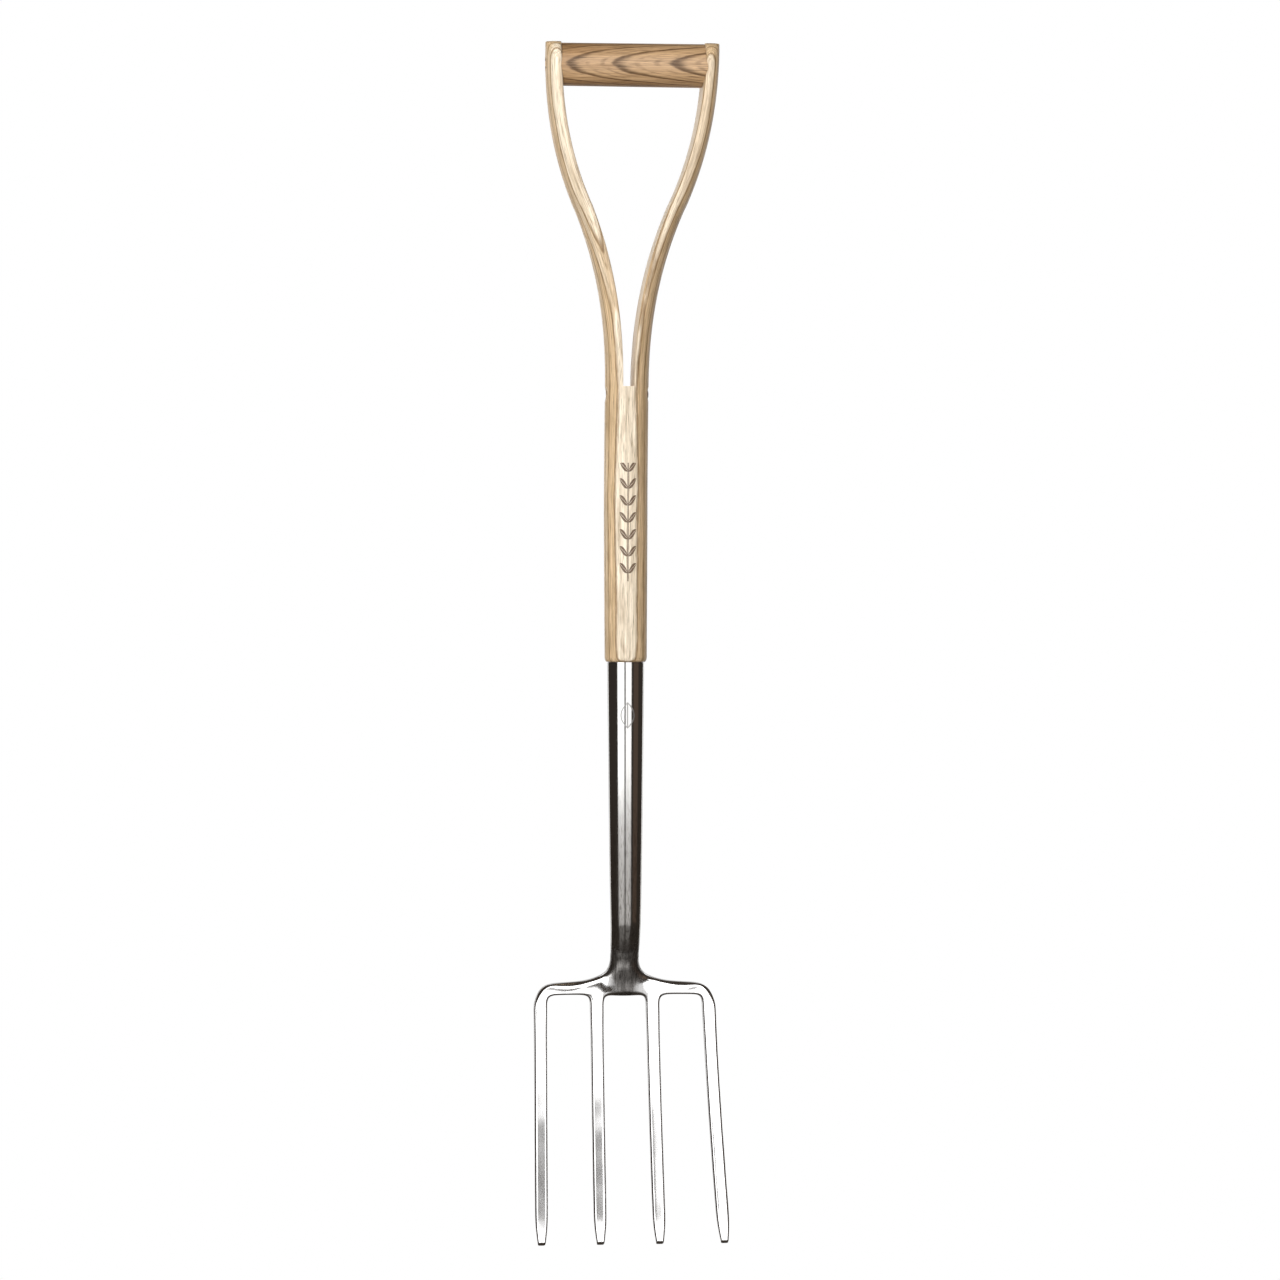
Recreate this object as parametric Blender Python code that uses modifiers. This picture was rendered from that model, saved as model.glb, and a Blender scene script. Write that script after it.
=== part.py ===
"""Digging fork: four forged tines on a long tapered steel socket, with a split ash handle.

The pieces are laid out on the tool's own axis: x = y = 0 on the straight shaft, heights above the
tine tips, concave front towards -Y. Every piece hangs from one empty, which puts the world origin
under the middle of the grip, where a hook or a hand carries the tool.
"""
import math

import bmesh
import bpy
from mathutils import Matrix, Vector

# ---- driving dimensions, in metres ----
FIT_GAP = 0.0003            # clearance between touching pieces

# side profile: tines sweep forward, crossbar sits behind the axis, handle leans forward
SWEEP_TOP_Z = 0.2280        # the head runs forward from here down to the tips
HEAD_BACK = 0.013           # how far behind the axis it is there
TINE_SWEEP = 0.069          # how far the tips stand in front of that
TINE_CURVE = 1.3            # exponent of the sweep
CRANK_TOP_Z = 0.277         # the socket leaves the straight axis below this height
LEAN_START_Z = 0.640
HANDLE_LEAN = 0.056
LEAN_CURVE = 1.4

# handle
SHAFT_R = 0.01905
SHAFT_LOW_R = 0.0184        # just above the socket
SHOULDER_Z = 0.502          # lower end of the full-size shaft
SHOULDER_ROUND = 0.0045     # height and depth of the rounding over the socket's mouth
SHOULDER_DROP = 0.0021
TENON_BOTTOM_Z = 0.345
CROTCH_Z = 0.7412           # floor of the slot between the arms
SLOT_HALF = 0.0048
ARM_MID_Z = 0.894           # where the arms run outward most steeply
ARM_TOP_Z = 1.035
ARM_TOP_X = 0.0686          # middle of the arm at its top
ARM_TOP_THICK = 0.0132
ARM_TOP_HALF_DEPTH = 0.0200  # also the radius that rounds the arms over the grip
SPREAD_IN = 2.25            # exponents of the lower and upper halves of the spread
SPREAD_OUT = 2.3
ARM_TOP_SQUARE = 2.5        # superellipse exponent at the top, 2 at the crotch
EDGE_ROUND_LOW = 0.0010     # rounding of the arm's inner edges at the crotch and at the top
EDGE_ROUND_HIGH = 0.0062

# grip
GRIP_LEFT_R = 0.0184
GRIP_RIGHT_R = 0.0188
GRIP_Z = ARM_TOP_Z - GRIP_RIGHT_R
GRIP_REACH = 0.0045         # how far the grip's ends run into the arms' rounded edges
GRIP_RIVET_R = 0.0025

# socket
SOCKET_TOP_R = 0.01615
SOCKET_LOW_R = 0.0122
SOCKET_BOTTOM_Z = 0.248
SOCKET_TAPER = 0.6          # exponent of the bottle-neck taper
SOCKET_WALL = 0.0016

# head
NECK_TOP_Z = 0.242
NECK_R = 0.0123
STUB_TOP_Z = 0.262
STUB_BOTTOM_Z = 0.232
UNDERSIDE_Z = 0.2108
TINE_WIDTH = 0.0109
TINE_DEPTH_TOP = 0.0110
TINE_DEPTH_TIP = 0.0074
TINE_EDGE = 0.0013          # corner size of the tine section
RIM_CREASE = 0.45           # keeps the head's long corners crisp under subdivision
INNER_TINE_X = 0.0245
OUTER_TINE_X = 0.0740
TIP_DRIFT = {               # how far each tip has wandered outward in forging and use
    ("left", "outer"): 0.0046, ("left", "inner"): 0.0032,
    ("right", "inner"): -0.0008, ("right", "outer"): 0.0060,
}
TIP_WIDTH = 0.0058
TIP_BEVEL = math.radians(34)

# fasteners
THROAT_RIVET_Z = 0.735
THROAT_RIVET_R = 0.0022
THROAT_HEAD_R = 0.0046
THROAT_HEAD_FLOOR = 0.01705     # x of the spot face under the domed head
THROAT_END_R = 0.0034           # clenched end, sunk in the left side
THROAT_END_FLOOR = 0.0160
SCALLOP_R = 0.0171              # hollows filed across the shaft at the rivet
SCALLOP_DEPTH = 0.0016
GRIP_RECESS_R = 0.0064
GRIP_RECESS_DEPTH = 0.0014
GRIP_END_R = 0.0036             # clenched ends of the grip's rivet
GRIP_END_SINK = 0.0012
SOCKET_RIVET_Z = 0.470
SOCKET_RIVET_R = 0.0021
SOCKET_RIVET_LENGTH = 0.014

SIDES = 28                  # facets round a turned piece
HOLE_SIDES = 20
CUTTER_OVERRUN = 0.004      # how far a cutter runs past the face it opens

PARTS_NAME = "digging_fork"
CUTTERS_NAME = "cutters"


# ---- curves that shape the tool ----
def mix(low, high, t):
    return low + (high - low) * t


def smoothstep(t):
    return t * t * (3.0 - 2.0 * t)


def depth_at(height):
    """Y of the tool's centre line at a height above the tips."""
    if height < SWEEP_TOP_Z:
        drop = (SWEEP_TOP_Z - height) / SWEEP_TOP_Z
        return HEAD_BACK - TINE_SWEEP * drop ** TINE_CURVE
    if height < CRANK_TOP_Z:
        return HEAD_BACK * smoothstep((CRANK_TOP_Z - height) / (CRANK_TOP_Z - SWEEP_TOP_Z))
    if height > LEAN_START_Z:
        rise = (height - LEAN_START_Z) / (ARM_TOP_Z - LEAN_START_Z)
        return -HANDLE_LEAN * rise ** LEAN_CURVE
    return 0.0


def socket_radius(height):
    """Outer radius of the socket: a long taper that tightens towards the neck."""
    rise = max(0.0, (height - SOCKET_BOTTOM_Z) / (SHOULDER_Z - SOCKET_BOTTOM_Z))
    return mix(SOCKET_LOW_R, SOCKET_TOP_R, rise ** SOCKET_TAPER)


def shaft_radius(height):
    """Radius of the shaft from its rounded shoulder up to the crotch."""
    rise = (height - SHOULDER_Z) / (CROTCH_Z - SHOULDER_Z)
    radius = mix(SHAFT_LOW_R, SHAFT_R, min(1.0, 2.0 * rise))
    if height < SHOULDER_Z + SHOULDER_ROUND:
        below = (SHOULDER_Z + SHOULDER_ROUND - height) / SHOULDER_ROUND
        radius -= SHOULDER_DROP * (1.0 - math.sqrt(max(0.0, 1.0 - below * below)))
    return radius


def spread_at(height):
    """Share of the arms' outward run that is done at a height: an S-curve from 0 to 1."""
    if height <= CROTCH_Z:
        return 0.0
    if height < ARM_MID_Z:
        return 0.5 * ((height - CROTCH_Z) / (ARM_MID_Z - CROTCH_Z)) ** SPREAD_IN
    return 1.0 - 0.5 * ((ARM_TOP_Z - height) / (ARM_TOP_Z - ARM_MID_Z)) ** SPREAD_OUT


def arm_outline(height, arc_steps, corner_steps, flat_steps, grow=0.0):
    """Right arm's D-shaped section, as (x, y) points: the outer chain, then the inner chain.

    The outer chain runs from front to back round the outside, the inner chain back to the front
    over the two rounded edges and the flat sawn face. grow offsets the section outward.
    """
    rise = (height - CROTCH_Z) / (ARM_TOP_Z - CROTCH_Z)
    step = 0.0005
    slope = ARM_TOP_X * (spread_at(min(height + step, ARM_TOP_Z)) - spread_at(height - step)) / (2 * step)
    low_thick = SHAFT_R - SLOT_HALF
    low_x = SLOT_HALF + low_thick / 2
    thick = mix(low_thick, ARM_TOP_THICK, rise) * math.hypot(1.0, slope)
    middle = mix(low_x, ARM_TOP_X, spread_at(height))
    inner = middle - thick / 2 - grow
    half_width = mix(SHAFT_R, ARM_TOP_THICK + 0.001, rise) + grow
    half_depth = mix(SHAFT_R, ARM_TOP_HALF_DEPTH, rise) + grow
    if height > GRIP_Z:
        half_depth = math.sqrt((ARM_TOP_HALF_DEPTH + grow) ** 2 - (height - GRIP_Z) ** 2)
    centre = middle + thick / 2 + grow - half_width
    power = mix(2.0, ARM_TOP_SQUARE, rise)
    rounding = min(mix(EDGE_ROUND_LOW, EDGE_ROUND_HIGH, min(1.0, 3.0 * rise)), half_depth / 2.5)
    spine = depth_at(height)

    def on_outside(angle):
        cos, sin = math.cos(angle), math.sin(angle)
        x = centre + half_width * math.copysign(abs(cos) ** (2 / power), cos)
        return Vector((x, half_depth * math.copysign(abs(sin) ** (2 / power), sin)))

    corner_angle = math.acos(min(1.0, max(0.0, (inner - centre) / half_width)) ** (power / 2))
    corner = on_outside(corner_angle)
    leave_angle = corner_angle - rounding / half_depth
    leave = on_outside(leave_angle)
    flat_edge = Vector((inner, corner.y - rounding))

    outer = []
    for i in range(arc_steps + 1):
        outer.append(on_outside(mix(-leave_angle, leave_angle, i / arc_steps)))
    back = []
    for i in range(1, corner_steps + 1):
        t = i / corner_steps
        back.append((1 - t) ** 2 * leave + 2 * t * (1 - t) * corner + t * t * flat_edge)
    inner_chain = list(back)
    for i in range(1, flat_steps):
        inner_chain.append(Vector((inner, mix(flat_edge.y, -flat_edge.y, i / flat_steps))))
    for point in reversed(back):
        inner_chain.append(Vector((point.x, -point.y)))
    shift = Vector((0.0, spine))
    return [p + shift for p in outer], [p + shift for p in inner_chain]


# ---- helpers ----
def new_collection(name):
    collection = bpy.data.collections.new(name)
    bpy.context.scene.collection.children.link(collection)
    return collection


def new_material(name, colour, roughness, metallic):
    material = bpy.data.materials.new(name)
    material.use_nodes = True
    shader = material.node_tree.nodes["Principled BSDF"]
    shader.inputs["Base Color"].default_value = (*colour, 1.0)
    shader.inputs["Roughness"].default_value = roughness
    shader.inputs["Metallic"].default_value = metallic
    return material


def finish_object(name, mesh, material, sharp_degrees=40):
    """Wraps a mesh as a named, smoothly shaded sub-part under the tool's empty."""
    mesh.materials.clear()
    mesh.materials.append(material)
    mesh.shade_smooth()
    mesh.set_sharp_from_angle(angle=math.radians(sharp_degrees))
    obj = bpy.data.objects.new(name, mesh)
    bpy.data.collections[PARTS_NAME].objects.link(obj)
    obj.parent = bpy.data.objects["tool_frame"]
    return obj


def evaluated_mesh(obj):
    """Mesh of an object with its modifiers applied, placed as the object is."""
    bpy.context.view_layer.update()
    depsgraph = bpy.context.evaluated_depsgraph_get()
    mesh = bpy.data.meshes.new_from_object(obj.evaluated_get(depsgraph))
    mesh.transform(obj.matrix_local)
    return mesh


def turned_mesh(profile, sides=SIDES):
    """Solid of revolution about Z from (radius, height) points, top to bottom on the outside."""
    mesh = bpy.data.meshes.new("profile")
    points = [(radius, 0.0, height) for radius, height in profile]
    edges = [(i, i + 1) for i in range(len(points) - 1)]
    if profile[0][0] > 0.0:
        edges.append((len(points) - 1, 0))
    mesh.from_pydata(points, edges, [])
    blank = bpy.data.objects.new("blank", mesh)
    bpy.context.scene.collection.objects.link(blank)
    screw = blank.modifiers.new("Turn", "SCREW")
    screw.steps = sides
    screw.render_steps = sides
    screw.use_merge_vertices = True
    screw.merge_threshold = 0.00001
    turned = evaluated_mesh(blank)
    bpy.data.objects.remove(blank)
    return turned


def bend_to_spine(mesh):
    """Moves a turned mesh's rings onto the tool's centre line."""
    for vertex in mesh.vertices:
        vertex.co.y += depth_at(vertex.co.z)


def laid_along_x(mesh, y, z):
    """Turns a piece made about Z so that its top faces the right."""
    mesh.transform(Matrix.Translation((0.0, y, z)) @ Matrix.Rotation(math.pi / 2, 4, "Y"))
    return mesh


def cutter_from(name, mesh):
    obj = bpy.data.objects.new(name, mesh)
    bpy.data.collections[CUTTERS_NAME].objects.link(obj)
    obj.parent = bpy.data.objects["tool_frame"]
    obj.hide_render = True
    obj.display_type = "WIRE"
    return obj


def cylinder_cutter(name, radius, start, end, sides=HOLE_SIDES):
    """Cylinder between two points, for drilling."""
    start, end = Vector(start), Vector(end)
    run = end - start
    bm = bmesh.new()
    place = Matrix.Translation((start + end) / 2) @ run.to_track_quat("Z", "Y").to_matrix().to_4x4()
    bmesh.ops.create_cone(bm, cap_ends=True, segments=sides, radius1=radius, radius2=radius,
                          depth=run.length, matrix=place)
    mesh = bpy.data.meshes.new(name)
    bm.to_mesh(mesh)
    bm.free()
    return cutter_from(name, mesh)


def apply_boolean(obj, other, operation="DIFFERENCE"):
    modifier = obj.modifiers.new(other.name, "BOOLEAN")
    modifier.operation = operation
    modifier.solver = "EXACT"
    modifier.object = other


# ---- handle ----
def arm_heights(start, arm_rings, cap_rings):
    """Heights of the arm's sections: even up to the grip's middle, then closing over its top."""
    heights = [mix(start, GRIP_Z, i / arm_rings) for i in range(arm_rings + 1)]
    last_angle = math.asin((ARM_TOP_Z - GRIP_Z) / ARM_TOP_HALF_DEPTH)
    for i in range(1, cap_rings + 1):
        heights.append(GRIP_Z + ARM_TOP_HALF_DEPTH * math.sin(last_angle * i / cap_rings))
    return heights


def handle_half(bm, arc_steps, corner_steps, flat_steps, arm_rings, grow=0.0, with_shaft=True):
    """Right half of the handle, open at x = 0, or the closed right arm alone as a cutter."""
    outer_count = arc_steps + 1
    start = CROTCH_Z if with_shaft else ARM_MID_Z

    def ring_at(height):
        outer, inner = arm_outline(height, arc_steps, corner_steps, flat_steps, grow)
        return [bm.verts.new((p.x, p.y, height)) for p in outer + inner]

    def bridge(lower, upper, closed):
        count = len(lower) if closed else len(lower) - 1
        for i in range(count):
            j = (i + 1) % len(lower)
            bm.faces.new((lower[i], lower[j], upper[j], upper[i]))

    rings = [ring_at(height) for height in arm_heights(start, arm_rings, cap_rings=5)]
    if grow:
        for vertex in rings[-1]:
            vertex.co.z += CUTTER_OVERRUN
    for lower, upper in zip(rings, rings[1:]):
        bridge(lower, upper, True)
    bm.faces.new(rings[-1])
    if not with_shaft:
        bm.faces.new(list(reversed(rings[0])))
        return

    crotch = rings[0]
    spine = depth_at(CROTCH_Z)
    angles = [math.atan2(v.co.y - spine, v.co.x) for v in crotch[:outer_count]]
    angles = [-math.pi / 2] + angles + [math.pi / 2]

    def half_ring(radius, height):
        ring = []
        for angle in angles:
            x = 0.0 if abs(angle) == math.pi / 2 else radius * math.cos(angle)
            ring.append(bm.verts.new((x, radius * math.sin(angle) + depth_at(height), height)))
        return ring

    # floor of the slot: the arm's inner chain joined to points on the middle plane
    front = bm.verts.new((0.0, spine - SHAFT_R, CROTCH_Z))
    back = bm.verts.new((0.0, spine + SHAFT_R, CROTCH_Z))
    chain = [crotch[outer_count - 1]] + crotch[outer_count:] + [crotch[0]]
    middle = [back] + [bm.verts.new((0.0, v.co.y, CROTCH_Z)) for v in chain[1:-1]] + [front]
    for i in range(len(chain) - 1):
        bm.faces.new((chain[i], middle[i], middle[i + 1], chain[i + 1]))

    # shaft, rounded shoulder and tenon, from the crotch down
    above = [front] + crotch[:outer_count] + [back]
    stations = [(SHAFT_R, mix(CROTCH_Z, SHOULDER_Z, t)) for t in (0.03, 0.06)]
    stations += [(shaft_radius(z), z) for z in
                 (mix(CROTCH_Z, SHOULDER_Z + SHOULDER_ROUND, t / 6) for t in range(1, 7))]
    stations += [(shaft_radius(SHOULDER_Z + SHOULDER_ROUND * t), SHOULDER_Z + SHOULDER_ROUND * t)
                 for t in (0.45, 0.15, 0.0)]
    for t in (0.0, 0.25, 0.5, 0.75, 1.0):
        z = mix(SHOULDER_Z, TENON_BOTTOM_Z, t)
        stations.append((socket_radius(z) - SOCKET_WALL - FIT_GAP, z))
    for radius, height in stations:
        ring = half_ring(radius, height)
        bridge(ring, above, False)
        above = ring
    bm.faces.new(list(reversed(above)))


def handle_mesh(name, **options):
    bm = bmesh.new()
    handle_half(bm, **options)
    mesh = bpy.data.meshes.new(name)
    bm.to_mesh(mesh)
    bm.free()
    return mesh


def mirror_x(obj):
    mirror = obj.modifiers.new("Mirror", "MIRROR")
    mirror.use_axis = (True, False, False)
    mirror.merge_threshold = 0.00001


def drill_across(obj, name, height, steps):
    """Stepped hole along X through the tool's centre line, as (radius, x) from right to left."""
    mesh = turned_mesh(steps, sides=HOLE_SIDES)
    apply_boolean(obj, cutter_from(name, laid_along_x(mesh, depth_at(height), height)))


def make_ash_shaft():
    """One piece of ash: tenon, shaft and the two arms that were sawn apart and bent."""
    mesh = handle_mesh("ash_shaft", arc_steps=12, corner_steps=3, flat_steps=4, arm_rings=22)
    ash = new_material("ash", (0.74, 0.58, 0.38), 0.45, 0.0)
    shaft = finish_object("ash_shaft", mesh, ash)
    mirror_x(shaft)

    # hollows filed across both sides where the throat rivet goes through
    throat_y = depth_at(THROAT_RIVET_Z)
    for side, word in ((-1, "left"), (1, "right")):
        x = side * (SHAFT_R - SCALLOP_DEPTH + SCALLOP_R)
        apply_boolean(shaft, cylinder_cutter("scallop_" + word, SCALLOP_R,
                                             (x, throat_y - 2 * SHAFT_R, THROAT_RIVET_Z),
                                             (x, throat_y + 2 * SHAFT_R, THROAT_RIVET_Z), sides=72))
    # spot face under the rivet's head, a clearance hole, and a deeper one round its clenched end
    outside = 2 * SHAFT_R
    head_r, end_r = THROAT_HEAD_R + 2 * FIT_GAP, THROAT_END_R + 2 * FIT_GAP
    hole_r = THROAT_RIVET_R + FIT_GAP
    drill_across(shaft, "throat_hole", THROAT_RIVET_Z, [
        (0.0, outside), (head_r, outside),
        (head_r, THROAT_HEAD_FLOOR), (hole_r, THROAT_HEAD_FLOOR),
        (hole_r, -THROAT_END_FLOOR), (end_r, -THROAT_END_FLOOR),
        (end_r, -outside), (0.0, -outside)])

    # grip rivet: a shallow recess outside each arm, with the clenched end sunk in its middle
    outside = ARM_TOP_X + 2 * ARM_TOP_THICK
    recess = arm_outer_x(GRIP_Z) - GRIP_RECESS_DEPTH
    end_r, hole_r = GRIP_END_R + 2 * FIT_GAP, GRIP_RIVET_R + FIT_GAP
    right = [(0.0, outside), (GRIP_RECESS_R, outside),
             (GRIP_RECESS_R, recess), (end_r, recess),
             (end_r, grip_end_floor()), (hole_r, grip_end_floor())]
    drill_across(shaft, "grip_hole", GRIP_Z, right + [(radius, -x) for radius, x in reversed(right)])

    pin_bottom = socket_radius(SOCKET_RIVET_Z) - SOCKET_RIVET_LENGTH
    apply_boolean(shaft, cylinder_cutter("socket_rivet_hole", SOCKET_RIVET_R + FIT_GAP,
                                         (0, pin_bottom, SOCKET_RIVET_Z),
                                         (0, 2 * SHAFT_R, SOCKET_RIVET_Z)))


def arm_outer_x(height):
    outer, _ = arm_outline(height, 2, 1, 1)
    return outer[1].x


def arm_inner_x(height):
    _, inner = arm_outline(height, 2, 1, 2)
    return inner[1].x


def grip_end_floor():
    return arm_outer_x(GRIP_Z) - GRIP_RECESS_DEPTH - GRIP_END_SINK


def make_grip():
    """Turned ash bar, scribed at both ends to the arms' rounded inner edges."""
    half = arm_inner_x(GRIP_Z) + GRIP_REACH
    bore = GRIP_RIVET_R + FIT_GAP
    stations = 6
    outside = []
    for i in range(stations + 1):
        t = i / stations
        outside.append((mix(GRIP_RIGHT_R, GRIP_LEFT_R, t), mix(half, -half, t)))
    mesh = turned_mesh(outside + [(bore, -half), (bore, half)], sides=36)
    laid_along_x(mesh, depth_at(GRIP_Z), GRIP_Z)
    grip = finish_object("grip", mesh, new_material("ash_grip", (0.60, 0.42, 0.24), 0.4, 0.0))
    cutter_mesh = handle_mesh("arm_cutter", arc_steps=12, corner_steps=4, flat_steps=2,
                              arm_rings=12, grow=FIT_GAP, with_shaft=False)
    for side, word in ((1, "right"), (-1, "left")):
        mesh = cutter_mesh.copy()
        if side < 0:
            mesh.transform(Matrix.Scale(-1, 4, (1, 0, 0)))
            mesh.flip_normals()
        apply_boolean(grip, cutter_from("arm_cutter_" + word, mesh))


# ---- socket ----
def make_socket_tube():
    """Tapered tube, seamed into the cranked neck at its lower end."""
    stations = 14
    heights = [mix(SHOULDER_Z - FIT_GAP, SOCKET_BOTTOM_Z, (i / stations) ** 0.8)
               for i in range(stations + 1)]
    outside = [(socket_radius(z), z) for z in heights]
    inside = [(socket_radius(z) - SOCKET_WALL, z) for z in reversed(heights)]
    mesh = turned_mesh(outside + inside)
    bend_to_spine(mesh)
    steel = new_material("socket_steel", (0.55, 0.53, 0.50), 0.2, 1.0)
    tube = finish_object("socket_tube", mesh, steel)
    wall = socket_radius(SOCKET_RIVET_Z)
    apply_boolean(tube, cylinder_cutter("socket_rivet_hole_tube", SOCKET_RIVET_R + FIT_GAP,
                                        (0, wall - CUTTER_OVERRUN, SOCKET_RIVET_Z),
                                        (0, wall + CUTTER_OVERRUN, SOCKET_RIVET_Z)))


def make_neck_weld():
    """Ring of weld metal between the tube's end and the forged neck, ground almost flush."""
    low = NECK_TOP_Z + FIT_GAP
    high = SOCKET_BOTTOM_Z - FIT_GAP
    crown = 0.0002
    inner = SOCKET_LOW_R - SOCKET_WALL
    steps = 4
    outside = []
    for i in range(steps + 1):
        t = i / steps
        outside.append((mix(SOCKET_LOW_R, NECK_R, t) + crown * math.sin(math.pi * t), mix(high, low, t)))
    mesh = turned_mesh(outside + [(inner, low), (inner, high)])
    bend_to_spine(mesh)
    weld = new_material("weld_metal", (0.30, 0.29, 0.28), 0.5, 1.0)
    finish_object("neck_weld", mesh, weld)


# ---- head ----
class HeadPlan:
    """Front-view quads of the head, thickened into a closed cage.

    Every point carries half its depth, the inset of its front and back corners and the half depth
    of its side wall, so a section can go from a rounded square to a circle. The head is laid out
    one side at a time, x outward; points on the middle plane are shared by both sides.
    """

    def __init__(self):
        self.points = {}
        self.creases = {}
        self.quads = []
        self.side = "right"

    def key(self, name, x):
        return name if x == 0.0 else self.side + "_" + name

    def shaped(self, name, x, z, half_depth, inset, side, crease=0.0):
        key = self.key(name, x)
        signed = x if self.side == "right" else -x
        self.points[key] = (signed, z, half_depth, inset, side)
        self.creases[key] = crease
        return key

    def square(self, name, x, z, depth, edge=TINE_EDGE):
        return self.shaped(name, x, z, depth / 2, edge, depth / 2 - edge, RIM_CREASE)

    def quad(self, *keys):
        self.quads.append(keys if self.side == "right" else tuple(reversed(keys)))

    def rim_edges(self):
        """Edges that belong to one quad only, in that quad's direction."""
        count = {}
        for keys in self.quads:
            for i in range(4):
                edge = (keys[i], keys[(i + 1) % 4])
                count[frozenset(edge)] = count.get(frozenset(edge), 0) + 1
        rim = []
        for keys in self.quads:
            for i in range(4):
                edge = (keys[i], keys[(i + 1) % 4])
                if count[frozenset(edge)] == 1:
                    rim.append(edge)
        return rim

    def build(self, name):
        bm = bmesh.new()
        rim = self.rim_edges()
        inward = {}
        for first, second in rim:
            a = Vector(self.points[first][:2])
            b = Vector(self.points[second][:2])
            run = (b - a).normalized()
            for key in (first, second):
                inward.setdefault(key, []).append(Vector((-run.y, run.x)))
        corners = {}
        for key, (x, z, half_depth, inset, side) in self.points.items():
            spine = depth_at(z)
            shift = Vector((0.0, 0.0))
            if key in inward:
                normals = inward[key]
                total = sum(normals, Vector((0.0, 0.0)))
                shift = total * (len(normals) * inset / max(total.length_squared, 0.25))
            front = bm.verts.new((x + shift.x, spine - half_depth, z + shift.y))
            back = bm.verts.new((x + shift.x, spine + half_depth, z + shift.y))
            corners[key] = [front, back]
            if key in inward:
                corners[key].append(bm.verts.new((x, spine - side, z)))
                corners[key].append(bm.verts.new((x, spine + side, z)))
        for keys in self.quads:
            bm.faces.new([corners[key][0] for key in keys])
            bm.faces.new([corners[key][1] for key in reversed(keys)])
        sharpness = bm.edges.layers.float.new("crease_edge")
        for first, second in rim:
            a, b = corners[first], corners[second]
            bm.faces.new((b[0], a[0], a[2], b[2]))
            bm.faces.new((b[2], a[2], a[3], b[3]))
            bm.faces.new((b[3], a[3], a[1], b[1]))
            for start, end in zip(a, b):
                bm.edges.get((start, end))[sharpness] = min(self.creases[first], self.creases[second])
        mesh = bpy.data.meshes.new(name)
        bm.to_mesh(mesh)
        bm.free()
        return mesh


def tine_depth(height):
    return mix(TINE_DEPTH_TIP, TINE_DEPTH_TOP, min(1.0, height / UNDERSIDE_Z))


def add_tine(plan, place, x, left_top, right_top):
    """Rows of one tine from its root down to its blunt end, joined below two existing points."""
    half = TINE_WIDTH / 2
    rows = [0.199, 0.185, 0.160, 0.130, 0.100, 0.070, 0.045, 0.030, 0.020, 0.010, 0.0, -0.006]
    taper_start = 0.024
    tip_edge = 0.0010
    root_flare = 0.0004
    drift = TIP_DRIFT[plan.side, place]
    left, right = left_top, right_top
    for index, height in enumerate(rows):
        drop = 1.0 - height / UNDERSIDE_Z
        middle = x + drift * drop ** TINE_CURVE
        width = half + (root_flare if index == 0 else 0.0)
        edge = TINE_EDGE
        if height < taper_start:
            closing = (taper_start - height) / taper_start
            width = mix(half, TIP_WIDTH / 2, closing ** 1.6)
            edge = mix(TINE_EDGE, tip_edge, closing)
        depth = tine_depth(height)
        new_left = plan.square(f"{place}_l{index}", middle - width, height, depth, edge)
        new_right = plan.square(f"{place}_r{index}", middle + width, height, depth, edge)
        plan.quad(left, new_left, new_right, right)
        left, right = new_left, new_right


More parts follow.
